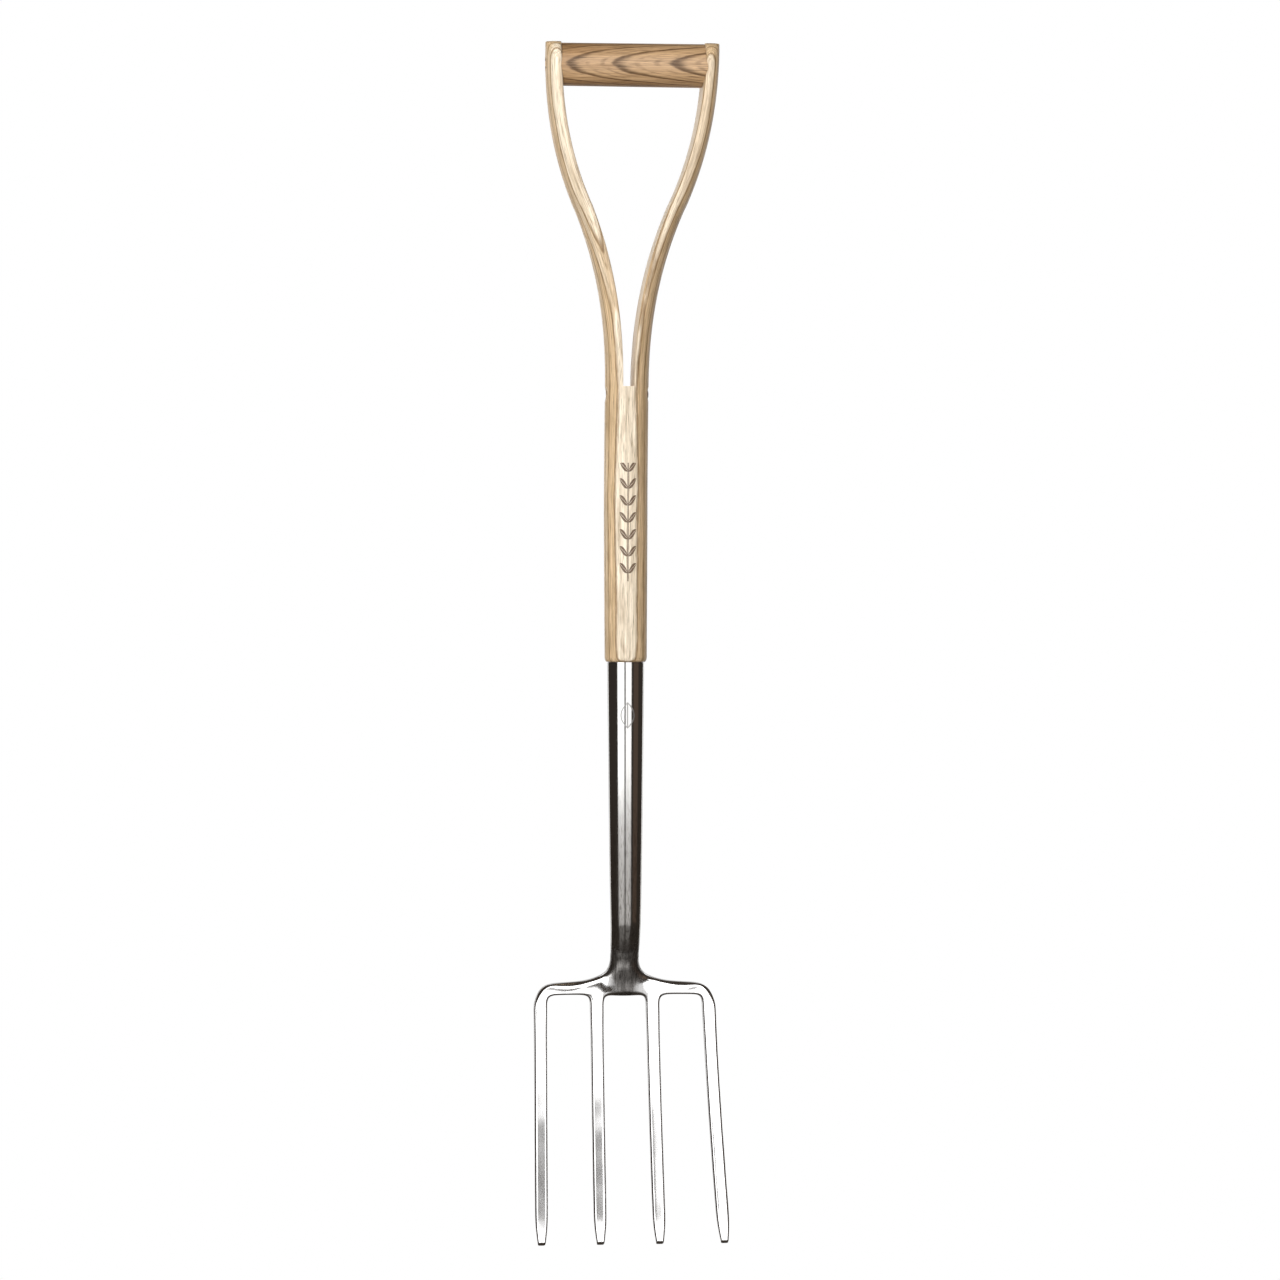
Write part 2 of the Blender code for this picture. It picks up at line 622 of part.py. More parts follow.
def add_side(plan):
    """One side of the neck and crossbar with its two tines, every quad anticlockwise."""
    half = TINE_WIDTH / 2
    root_l, root_r = INNER_TINE_X - half, INNER_TINE_X + half
    end_l, end_r = OUTER_TINE_X - half, OUTER_TINE_X + half

    # underside of the crossbar, from the middle plane outward
    low = UNDERSIDE_Z
    under = [
        plan.square("under0", 0.0, low - 0.0009, 0.0165, 0.0036),
        plan.square("under1", 0.009, low - 0.0006, 0.0150, 0.0030),
        plan.square("under2", root_l, low, 0.0125),
        plan.square("under3", root_r, low, 0.0115),
        plan.square("under4", 0.0420, low + 0.0004, 0.0105),
        plan.square("under5", 0.0565, low + 0.0002, 0.0105),
        plan.square("under6", end_l, low, 0.0110),
        plan.square("under7", end_r - 0.0002, low - 0.0055, 0.0110),
    ]
    # top edge: the flat bar swells into the round neck, then falls gently to the outer corner
    top = [
        plan.shaped("top0", 0.0, 0.2235, 0.0110, 0.0, 0.0),
        plan.shaped("top1", 0.0085, 0.2240, 0.0100, 0.0, 0.0),
        plan.shaped("top2", root_l, 0.2285, 0.0078, 0.0030, 0.0036),
        plan.square("top3", root_r + 0.001, 0.2240, 0.0135),
        plan.square("top4", 0.0420, 0.2222, 0.0110, 0.0026),
        plan.square("top5", 0.0565, 0.2215, 0.0105, 0.0022),
        plan.square("top6", end_l - 0.002, 0.2210, 0.0110),
        plan.square("top7", end_r - 0.0046, 0.2164, 0.0110, 0.0030),
    ]
    for i in range(len(under) - 1):
        plan.quad(under[i], under[i + 1], top[i + 1], top[i])

    # round neck: fourteen points a ring, spread evenly, on a radius that subdivision draws in
    turn = 2 * math.pi / 14
    draw_in = 2 / 3 + math.cos(turn) / 3
    rings = ((0.2335, NECK_R * 1.16), (0.2385, NECK_R * 1.04), (0.2440, NECK_R), (0.2500, NECK_R))
    below = top[:3]
    for index, (height, radius) in enumerate(rings):
        reach = radius / draw_in
        edge_x = reach * math.sin(3 * turn)
        inset = edge_x - reach * math.sin(2 * turn)
        ring = [
            plan.shaped(f"neck0_{index}", 0.0, height, reach, 0.0, 0.0),
            plan.shaped(f"neck1_{index}", reach * math.sin(turn), height,
                        reach * math.cos(turn), 0.0, 0.0),
            plan.shaped(f"neck2_{index}", edge_x, height, reach * math.cos(2 * turn), inset,
                        reach * math.cos(3 * turn)),
        ]
        plan.quad(below[0], below[1], ring[1], ring[0])
        plan.quad(below[1], below[2], ring[2], ring[1])
        below = ring

    add_tine(plan, "inner", INNER_TINE_X, under[2], under[3])
    add_tine(plan, "outer", OUTER_TINE_X, under[6], under[7])


def head_plan():
    plan = HeadPlan()
    for side in ("right", "left"):
        plan.side = side
        add_side(plan)
    return plan


def block_cutter(name, size, place):
    bm = bmesh.new()
    bmesh.ops.create_cube(bm, size=1.0)
    bmesh.ops.scale(bm, vec=size, verts=bm.verts)
    bmesh.ops.transform(bm, matrix=place, verts=bm.verts)
    mesh = bpy.data.meshes.new(name)
    bm.to_mesh(mesh)
    bm.free()
    return cutter_from(name, mesh)


def make_fork_head():
    """One forging: crossbar, four tines with bevelled tips, and the stub inside the socket."""
    steel = new_material("head_steel", (0.80, 0.80, 0.80), 0.25, 1.0)
    head = finish_object("fork_head", head_plan().build("fork_head"), steel)
    smooth = head.modifiers.new("Smooth", "SUBSURF")
    smooth.levels = 1
    smooth.render_levels = 1

    # the neck is sawn square, then joined to the stub that the socket is pushed over
    block = 0.04
    place = Matrix.Translation((0, depth_at(NECK_TOP_Z), NECK_TOP_Z + block / 2))
    apply_boolean(head, block_cutter("neck_saw", (block, block, block), place))
    stub_r = SOCKET_LOW_R - SOCKET_WALL - FIT_GAP
    stations = 6
    rows = [mix(STUB_TOP_Z, STUB_BOTTOM_Z, i / stations) for i in range(stations + 1)]
    stub = turned_mesh([(0.0, rows[0])] + [(stub_r, z) for z in rows] + [(0.0, rows[-1])])
    bend_to_spine(stub)
    apply_boolean(head, cutter_from("stub", stub), "UNION")

    # one plane grinds all four tips: it leaves a bevel that faces down and forward
    tip_back = depth_at(0.0) + TINE_DEPTH_TIP / 2
    normal_tilt = Matrix.Rotation(-TIP_BEVEL, 4, "X")
    width = 0.25
    place = Matrix.Translation((0, tip_back, 0)) @ normal_tilt @ Matrix.Translation((0, 0, -block / 2))
    apply_boolean(head, block_cutter("tip_grinder", (width, block, block), place))


# ---- fasteners ----
def dome(radius, height, base, steps=4):
    """Profile of a domed head from its crown down to its rim."""
    points = []
    for i in range(steps + 1):
        angle = math.pi / 2 * i / steps
        points.append((radius * math.sin(angle), base + height * math.cos(angle)))
    return points


def make_grip_rivet(steel):
    """Rod through both arms and the grip, clenched at each end."""
    seat = grip_end_floor() + FIT_GAP
    end = dome(GRIP_END_R, 0.0007, seat)
    far_end = [(radius, -height) for radius, height in reversed(end)]
    profile = end + [(GRIP_RIVET_R, seat), (GRIP_RIVET_R, -seat)] + far_end
    mesh = turned_mesh(profile, sides=HOLE_SIDES)
    finish_object("grip_rivet", laid_along_x(mesh, depth_at(GRIP_Z), GRIP_Z), steel)


def make_throat_rivet(steel):
    """Rivet across the shaft under the slot: domed head at the right, clenched at the left."""
    head_seat = THROAT_HEAD_FLOOR + FIT_GAP
    rim = 0.0005
    dome_height = SHAFT_R - head_seat - rim
    left_seat = THROAT_END_FLOOR + FIT_GAP
    head = dome(THROAT_HEAD_R, dome_height, head_seat + rim) + [(THROAT_HEAD_R, head_seat)]
    far_end = [(radius, -height) for radius, height in reversed(dome(THROAT_END_R, 0.0005, left_seat))]
    profile = head + [(THROAT_RIVET_R, head_seat), (THROAT_RIVET_R, -left_seat)] + far_end
    mesh = turned_mesh(profile, sides=HOLE_SIDES)
    finish_object("throat_rivet", laid_along_x(mesh, depth_at(THROAT_RIVET_Z), THROAT_RIVET_Z), steel)


def make_socket_rivet(steel):
    """Rivet at the back of the socket, through its wall into the tenon."""
    seat = socket_radius(SOCKET_RIVET_Z) + FIT_GAP
    head_r, head_h = 0.0040, 0.0016
    bottom = seat - SOCKET_RIVET_LENGTH + 0.001
    shank = [(SOCKET_RIVET_R, seat), (SOCKET_RIVET_R, bottom), (0.0, bottom)]
    profile = dome(head_r, head_h, seat) + shank
    mesh = turned_mesh(profile, sides=HOLE_SIDES)
    mesh.transform(Matrix.Translation((0, 0, SOCKET_RIVET_Z)) @ Matrix.Rotation(-math.pi / 2, 4, "X"))
    finish_object("socket_rivet", mesh, steel)


def build():
    for obj in list(bpy.data.objects):
        bpy.data.objects.remove(obj, do_unlink=True)
    new_collection(PARTS_NAME)
    new_collection(CUTTERS_NAME)
    frame = bpy.data.objects.new("tool_frame", None)
    bpy.data.collections[PARTS_NAME].objects.link(frame)
    grip_bottom = GRIP_Z - (GRIP_LEFT_R + GRIP_RIGHT_R) / 2
    frame.location = (0.0, -depth_at(GRIP_Z), -grip_bottom)

    make_ash_shaft()
    make_grip()
    make_socket_tube()
    make_neck_weld()
    make_fork_head()
    rivet_steel = new_material("rivet_steel", (0.22, 0.20, 0.18), 0.45, 1.0)
    make_grip_rivet(rivet_steel)
    make_throat_rivet(rivet_steel)
    make_socket_rivet(rivet_steel)


build()
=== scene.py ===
import math

import bmesh
import bpy
from mathutils import Matrix, Vector, noise


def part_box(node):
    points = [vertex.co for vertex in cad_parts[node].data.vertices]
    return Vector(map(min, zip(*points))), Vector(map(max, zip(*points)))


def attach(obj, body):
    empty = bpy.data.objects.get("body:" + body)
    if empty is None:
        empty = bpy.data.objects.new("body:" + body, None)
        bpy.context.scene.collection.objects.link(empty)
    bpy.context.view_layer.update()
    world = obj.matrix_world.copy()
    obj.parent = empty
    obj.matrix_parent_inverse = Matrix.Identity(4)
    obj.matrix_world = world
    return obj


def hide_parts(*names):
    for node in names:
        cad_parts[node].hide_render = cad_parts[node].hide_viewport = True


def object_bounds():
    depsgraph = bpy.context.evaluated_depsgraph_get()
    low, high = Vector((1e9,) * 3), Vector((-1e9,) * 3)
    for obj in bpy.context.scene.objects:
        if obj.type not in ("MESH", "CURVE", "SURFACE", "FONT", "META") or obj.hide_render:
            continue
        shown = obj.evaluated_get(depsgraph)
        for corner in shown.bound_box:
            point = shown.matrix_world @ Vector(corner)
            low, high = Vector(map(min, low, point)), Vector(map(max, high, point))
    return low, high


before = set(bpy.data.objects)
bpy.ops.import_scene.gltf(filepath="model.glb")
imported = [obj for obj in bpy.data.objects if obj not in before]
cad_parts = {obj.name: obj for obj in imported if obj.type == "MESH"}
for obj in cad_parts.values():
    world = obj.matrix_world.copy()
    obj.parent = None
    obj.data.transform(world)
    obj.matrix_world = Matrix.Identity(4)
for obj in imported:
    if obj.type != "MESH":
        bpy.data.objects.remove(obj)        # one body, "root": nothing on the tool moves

CAD_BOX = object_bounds()

# ---- driving dimensions of the tool, in metres: heights above the tine tips, front towards -Y ----
FIT_GAP = 0.0003
SWEEP_TOP_Z = 0.2280        # the tines' forward sweep starts here
HEAD_BACK = 0.013
TINE_SWEEP = 0.069
TINE_CURVE = 1.3
CRANK_TOP_Z = 0.277
LEAN_START_Z = 0.640
HANDLE_LEAN = 0.056
LEAN_CURVE = 1.4

SHAFT_R = 0.01905
SHAFT_LOW_R = 0.0184
SHOULDER_Z = 0.502
SHOULDER_ROUND = 0.0045
SHOULDER_DROP = 0.0021
TENON_BOTTOM_Z = 0.345
CROTCH_Z = 0.7412
SLOT_HALF = 0.0048
ARM_MID_Z = 0.894
ARM_TOP_Z = 1.035
ARM_LOW_X = SLOT_HALF + (SHAFT_R - SLOT_HALF) / 2   # middle of the arm at the crotch
ARM_TOP_X = 0.0686
ARM_TOP_THICK = 0.0132
ARM_TOP_HALF_DEPTH = 0.0200
SPREAD_IN = 2.25
SPREAD_OUT = 2.3
ARM_TOP_SQUARE = 2.5
EDGE_ROUND_LOW = 0.0010
EDGE_ROUND_HIGH = 0.0062
ARM_TOP_EASE = 0.0006       # sanded edge round the arms' end grain

GRIP_LEFT_R = 0.0184
GRIP_RIGHT_R = 0.0188
GRIP_Z = ARM_TOP_Z - GRIP_RIGHT_R
GRIP_REACH = 0.0045
GRIP_RIVET_R = 0.0025

SOCKET_TOP_R = 0.01615
SOCKET_LOW_R = 0.0122
SOCKET_BOTTOM_Z = 0.248
SOCKET_TAPER = 0.6
SOCKET_WALL = 0.0016

NECK_TOP_Z = 0.242
NECK_R = 0.0123
NECK_POINTS = 14
UNDERSIDE_Z = 0.2108
TINE_WIDTH = 0.0109
TINE_DEPTH_TOP = 0.0110
TINE_DEPTH_TIP = 0.0074
TINE_EDGE = 0.0013
RIM_CREASE = 0.45
INNER_TINE_X = 0.0245
OUTER_TINE_X = 0.0740
TIP_DRIFT = {
    ("left", "outer"): 0.0046, ("left", "inner"): 0.0032,
    ("right", "inner"): -0.0008, ("right", "outer"): 0.0060,
}
TIP_WIDTH = 0.0058
TIP_BEVEL = math.radians(34)

THROAT_RIVET_Z = 0.735
THROAT_RIVET_R = 0.0022
THROAT_HEAD_R = 0.0046
THROAT_HEAD_FLOOR = 0.01705
THROAT_END_R = 0.0034
THROAT_END_FLOOR = 0.0160
SCALLOP_R = 0.0171
SCALLOP_DEPTH = 0.0016
GRIP_RECESS_R = 0.0064
GRIP_RECESS_DEPTH = 0.0014
GRIP_END_R = 0.0036
GRIP_END_SINK = 0.0012
SOCKET_RIVET_Z = 0.470
SOCKET_RIVET_R = 0.0021
SOCKET_RIVET_LENGTH = 0.014
CUTTER_OVERRUN = 0.004

# ---- camera and light ----
CAMERA_AZIMUTH = math.radians(-6.3)    # the camera stands to the left of square on
CAMERA_DISTANCE = 4.0
VIEW_WIDTH = 1.1172         # width of the view at the shaft
AXIS_LEFT_OF_CENTRE = 0.0125
CAMERA_ABOVE_MIDDLE = 0.0035
LIGHT_DISTANCE = 1.5
FLOOR_BELOW_TIPS = 0.6
MERGE_DISTANCE = 0.00001
SHARP_ANGLE = math.radians(35)


# ---- curves that shape the tool ----
def mix(low, high, t):
    return low + (high - low) * t


def smoothstep(t):
    t = min(1.0, max(0.0, t))
    return t * t * (3.0 - 2.0 * t)


def depth_at(height):
    """Y of the tool's centre line at a height above the tips."""
    if height < SWEEP_TOP_Z:
        drop = (SWEEP_TOP_Z - height) / SWEEP_TOP_Z
        return HEAD_BACK - TINE_SWEEP * drop ** TINE_CURVE
    if height < CRANK_TOP_Z:
        return HEAD_BACK * smoothstep((CRANK_TOP_Z - height) / (CRANK_TOP_Z - SWEEP_TOP_Z))
    if height > LEAN_START_Z:
        rise = (height - LEAN_START_Z) / (ARM_TOP_Z - LEAN_START_Z)
        return -HANDLE_LEAN * rise ** LEAN_CURVE
    return 0.0


def socket_radius(height):
    rise = max(0.0, (height - SOCKET_BOTTOM_Z) / (SHOULDER_Z - SOCKET_BOTTOM_Z))
    return mix(SOCKET_LOW_R, SOCKET_TOP_R, rise ** SOCKET_TAPER)


def shaft_radius(height):
    rise = (height - SHOULDER_Z) / (CROTCH_Z - SHOULDER_Z)
    radius = mix(SHAFT_LOW_R, SHAFT_R, min(1.0, 2.0 * rise))
    if height < SHOULDER_Z + SHOULDER_ROUND:
        below = (SHOULDER_Z + SHOULDER_ROUND - height) / SHOULDER_ROUND
        radius -= SHOULDER_DROP * (1.0 - math.sqrt(max(0.0, 1.0 - below * below)))
    return radius


def spread_at(height):
    """Share of the arms' outward run that is done at a height."""
    if height <= CROTCH_Z:
        return 0.0
    if height < ARM_MID_Z:
        return 0.5 * ((height - CROTCH_Z) / (ARM_MID_Z - CROTCH_Z)) ** SPREAD_IN
    return 1.0 - 0.5 * (max(0.0, ARM_TOP_Z - height) / (ARM_TOP_Z - ARM_MID_Z)) ** SPREAD_OUT


def arm_middle(height):
    """X of the arm's middle, and how much its slope stretches a level section."""
    step = 0.0005
    rise = spread_at(min(height + step, ARM_TOP_Z)) - spread_at(height - step)
    stretch = math.hypot(1.0, ARM_TOP_X * rise / (2 * step))
    return mix(ARM_LOW_X, ARM_TOP_X, spread_at(height)), stretch


def arm_outline(height, arc_steps, corner_steps, flat_steps, grow=0.0):
    """Right arm's D-shaped section: the outer chain front to back, then the inner chain back."""
    rise = (height - CROTCH_Z) / (ARM_TOP_Z - CROTCH_Z)
    middle, stretch = arm_middle(height)
    thick = mix(SHAFT_R - SLOT_HALF, ARM_TOP_THICK, rise) * stretch
    inner = middle - thick / 2 - grow
    half_width = mix(SHAFT_R, ARM_TOP_THICK + 0.001, rise) + grow
    half_depth = mix(SHAFT_R, ARM_TOP_HALF_DEPTH, rise) + grow
    if height > GRIP_Z:
        half_depth = math.sqrt((ARM_TOP_HALF_DEPTH + grow) ** 2 - (height - GRIP_Z) ** 2)
    centre = middle + thick / 2 + grow - half_width
    power = mix(2.0, ARM_TOP_SQUARE, rise)
    rounding = min(mix(EDGE_ROUND_LOW, EDGE_ROUND_HIGH, min(1.0, 3.0 * rise)), half_depth / 2.5)
    shift = Vector((0.0, depth_at(height)))

    def on_outside(angle):
        cos, sin = math.cos(angle), math.sin(angle)
        x = centre + half_width * math.copysign(abs(cos) ** (2 / power), cos)
        return Vector((x, half_depth * math.copysign(abs(sin) ** (2 / power), sin)))

    corner_angle = math.acos(min(1.0, max(0.0, (inner - centre) / half_width)) ** (power / 2))
    corner = on_outside(corner_angle)
    leave_angle = corner_angle - rounding / half_depth
    leave = on_outside(leave_angle)
    flat_edge = Vector((inner, corner.y - rounding))

    outer = [on_outside(mix(-leave_angle, leave_angle, i / arc_steps))
             for i in range(arc_steps + 1)]
    back = []
    for i in range(1, corner_steps + 1):
        t = i / corner_steps
        back.append((1 - t) ** 2 * leave + 2 * t * (1 - t) * corner + t * t * flat_edge)
    inner_chain = list(back)
    for i in range(1, flat_steps):
        inner_chain.append(Vector((inner, mix(flat_edge.y, -flat_edge.y, i / flat_steps))))
    inner_chain += [Vector((point.x, -point.y)) for point in reversed(back)]
    return [p + shift for p in outer], [p + shift for p in inner_chain]


# the pieces are built on the tool's own axis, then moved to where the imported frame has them
ORIGIN = Vector((0.0, -depth_at(GRIP_Z), -(GRIP_Z - (GRIP_LEFT_R + GRIP_RIGHT_R) / 2)))
TOP_OF_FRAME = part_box("ash_shaft")[1][2]
if abs(ARM_TOP_Z + ORIGIN.z - TOP_OF_FRAME) > 0.001:
    raise RuntimeError("the handle built here doesn't end where the packed one does")


# ---- mesh helpers ----
def evaluated_mesh(obj, *helpers):
    """Mesh of a scratch object under its modifiers; the object and its helpers are thrown away."""
    bpy.context.view_layer.update()
    depsgraph = bpy.context.evaluated_depsgraph_get()
    mesh = bpy.data.meshes.new_from_object(obj.evaluated_get(depsgraph))
    for used in (obj, *helpers):
        bpy.data.objects.remove(used)
    return mesh


def scratch_object(mesh):
    obj = bpy.data.objects.new("scratch", mesh)
    bpy.context.scene.collection.objects.link(obj)
    return obj


def mesh_from(bm, name):
    mesh = bpy.data.meshes.new(name)
    bm.to_mesh(mesh)
    bm.free()
    return mesh


def turned_mesh(profile, sides=96):
    """Solid of revolution about Z from (radius, height) points, top to bottom on the outside."""
    mesh = bpy.data.meshes.new("profile")
    points = [(radius, 0.0, height) for radius, height in profile]
    edges = [(i, i + 1) for i in range(len(points) - 1)]
    if profile[0][0] > 0.0:
        edges.append((len(points) - 1, 0))
    mesh.from_pydata(points, edges, [])
    blank = scratch_object(mesh)
    screw = blank.modifiers.new("Turn", "SCREW")
    screw.steps = screw.render_steps = sides
    screw.use_merge_vertices = True
    screw.merge_threshold = MERGE_DISTANCE
    return evaluated_mesh(blank)


def mirrored(profile):
    """The other end of a profile that is the same at both ends."""
    return [(radius, -height) for radius, height in reversed(profile)]


def bend_to_spine(mesh):
    for vertex in mesh.vertices:
        vertex.co.y += depth_at(vertex.co.z)


def across_at(height):
    """Lays a piece made about Z across the tool's centre line, with its top to the right."""
    place = Matrix.Translation((0.0, depth_at(height), height))
    return place @ Matrix.Rotation(math.pi / 2, 4, "Y")


def bar_between(start, end, radius, sides=64):
    """Cylinder between two points, for drilling."""
    start, end = Vector(start), Vector(end)
    run = end - start
    bm = bmesh.new()
    turn = run.to_track_quat("Z", "Y").to_matrix().to_4x4()
    place = Matrix.Translation((start + end) / 2) @ turn
    bmesh.ops.create_cone(bm, cap_ends=True, segments=sides, radius1=radius, radius2=radius,
                          depth=run.length, matrix=place)
    return mesh_from(bm, "bar")


def cut(mesh, cutters):
    """Mesh with each of the cutter meshes taken away from it."""
    blank = scratch_object(mesh)
    tools = []
    for cutter in cutters:
        tool = scratch_object(cutter)
        modifier = blank.modifiers.new("Cut", "BOOLEAN")
        modifier.operation = "DIFFERENCE"
        modifier.solver = "EXACT"
        modifier.object = tool
        tools.append(tool)
    return evaluated_mesh(blank, *tools)


def store_vectors(mesh, name, vector_of):
    """Writes a vector for every vertex as an attribute that the materials read."""
    layer = mesh.attributes.new(name, "FLOAT_VECTOR", "POINT")
    layer.data.foreach_set("vector", [value for v in mesh.vertices for value in vector_of(v.co)])


def add_piece(name, mesh, material, slot, *nodes):
    """Puts a finished mesh into the frame, standing for its CAD nodes."""
    mesh.transform(Matrix.Translation(ORIGIN))
    mesh.materials.clear()
    mesh.materials.append(material)
    mesh.shade_smooth()
    mesh.set_sharp_from_angle(angle=SHARP_ANGLE)
    obj = bpy.data.objects.new(name, mesh)
    bpy.context.scene.collection.objects.link(obj)
    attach(obj, "root")
    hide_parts(*nodes)


# ---- material helpers ----
class Graph:
    """A material's node tree, with short calls for the nodes used here."""

    def __init__(self, name):
        self.material = bpy.data.materials.new(name)
        self.material.use_nodes = True
        self.tree = self.material.node_tree
        self.shader = self.tree.nodes["Principled BSDF"]

    def feed(self, socket, value):
        if isinstance(value, bpy.types.NodeSocket):
            self.tree.links.new(value, socket)
        elif isinstance(value, tuple) and len(value) == 3 and socket.type == "RGBA":
            socket.default_value = (*value, 1.0)
        else:
            socket.default_value = value

    def node(self, kind, inputs, **settings):
        node = self.tree.nodes.new(kind)
        for key, value in settings.items():
            setattr(node, key, value)
        for key, value in inputs.items():
            self.feed(node.inputs[key], value)
        return node

    def attribute(self, name):
        return self.node("ShaderNodeAttribute", {}, attribute_name=name).outputs["Vector"]

    def split(self, vector):
        return self.node("ShaderNodeSeparateXYZ", {0: vector}).outputs

    def join(self, x, y, z):
        return self.node("ShaderNodeCombineXYZ", {0: x, 1: y, 2: z}).outputs[0]

    def math(self, operation, a, b=0.0, c=0.0, clamp=False):
        made = self.node("ShaderNodeMath", {0: a, 1: b, 2: c}, operation=operation, use_clamp=clamp)
        return made.outputs[0]

    def times(self, a, b):
        return self.math("MULTIPLY", a, b)

    def times_plus(self, a, b, c):
        """a times b, plus c."""
        return self.math("MULTIPLY_ADD", a, b, c)

    def above(self, value, limit):
        return self.math("GREATER_THAN", value, limit)

    def below(self, value, limit):
        return self.math("LESS_THAN", value, limit)

    def size_of(self, value):
        return self.math("ABSOLUTE", value)

    def swung(self, value, noise_value, amount):
        """Value moved either way by a noise that runs from 0 to 1."""
        return self.times_plus(self.math("SUBTRACT", noise_value, 0.5), amount, value)

    def stretch(self, vector, scale):
        made = self.node("ShaderNodeVectorMath", {0: vector, 1: scale}, operation="MULTIPLY")
        return made.outputs[0]

    def noise(self, vector, scale=1.0, detail=2.0, roughness=0.5):
        made = self.node("ShaderNodeTexNoise", {"Vector": vector, "Scale": scale,
                                                "Detail": detail, "Roughness": roughness})
        return made.outputs["Fac"]

    def stretched_noise(self, vector, scale, detail=2.0, roughness=0.5):
        """Noise whose grains have a size of their own along each axis."""
        return self.noise(self.stretch(vector, scale), 1.0, detail, roughness)

    def wave(self, value, start, end, low=0.0, high=1.0):
        """Value brought smoothly from one range to another."""
        made = self.node("ShaderNodeMapRange", {0: value, 1: start, 2: end, 3: low, 4: high},
                         interpolation_type="SMOOTHSTEP")
        return made.outputs[0]

    def blend(self, factor, a, b, kind="MIX"):
        made = self.node("ShaderNodeMix", {0: factor, 6: a, 7: b},
                         data_type="RGBA", blend_type=kind)
        return made.outputs[2]

    def bump(self, height, distance, strength):
        return self.node("ShaderNodeBump", {"Height": height, "Distance": distance,
                                            "Strength": strength}).outputs[0]

    def finish(self, **inputs):
        for key, value in inputs.items():
            self.feed(self.shader.inputs[key.replace("_", " ")], value)
        return self.material

    def finish_steel(self, tint, rough, height, bump_distance, bump_strength=0.7):
        return self.finish(Base_Color=tint, Metallic=1.0, Roughness=rough,
                           Normal=self.bump(height, bump_distance, bump_strength))


# ---- wood ----
def growth_layers(g, grain, pith, ring, warp):
    """Which growth layer a point is in, with its fraction, and the fine noise that frays it.

    pith is where the layers' centre lies in grain coordinates, x and then y at grain height 0,
    and how it tilts along the grain; ring is the layers' thickness.
    """
    x, y, z = g.split(grain)
    pith_x, pith_y, tilt = pith
    across = g.math("SUBTRACT", x, pith_x)
    deep = g.math("SUBTRACT", y, g.times_plus(z, tilt, pith_y))
    radius = g.math("SQRT", g.math("ADD", g.times(across, across), g.times(deep, deep)))
    # warped slowly along the stem and finely across it
    slow = g.stretched_noise(grain, (18.0, 18.0, 9.0), detail=1.5)
    fine = g.stretched_noise(grain, (260.0, 260.0, 34.0), detail=3.0)
    radius = g.swung(g.swung(radius, slow, warp), fine, warp * 0.22)
    return g.math("DIVIDE", radius, ring), fine


def layer_lines(g, grain, layers, fine):
    """Dark line at each layer: sharp on its inner side, fading outward; fainter ones between."""
    share = g.math("FRACT", layers)
    fade = g.math("SUBTRACT", 1.0, g.wave(share, 0.0, 0.24))
    line = g.math("MAXIMUM", g.wave(share, 0.88, 0.98), fade)
    third = g.math("FRACT", g.times_plus(layers, 3.0, 0.35))
    faint = g.wave(g.size_of(g.math("SUBTRACT", third, 0.5)), 0.24, 0.04, 0.0, 0.42)
    line = g.math("MAXIMUM", line, g.times(faint, g.wave(fine, 0.38, 0.58)))
    ragged = g.stretched_noise(grain, (1300.0, 1300.0, 90.0), detail=3.0, roughness=0.7)
    return g.times(line, g.wave(ragged, 0.28, 0.55, 0.55, 1.0))


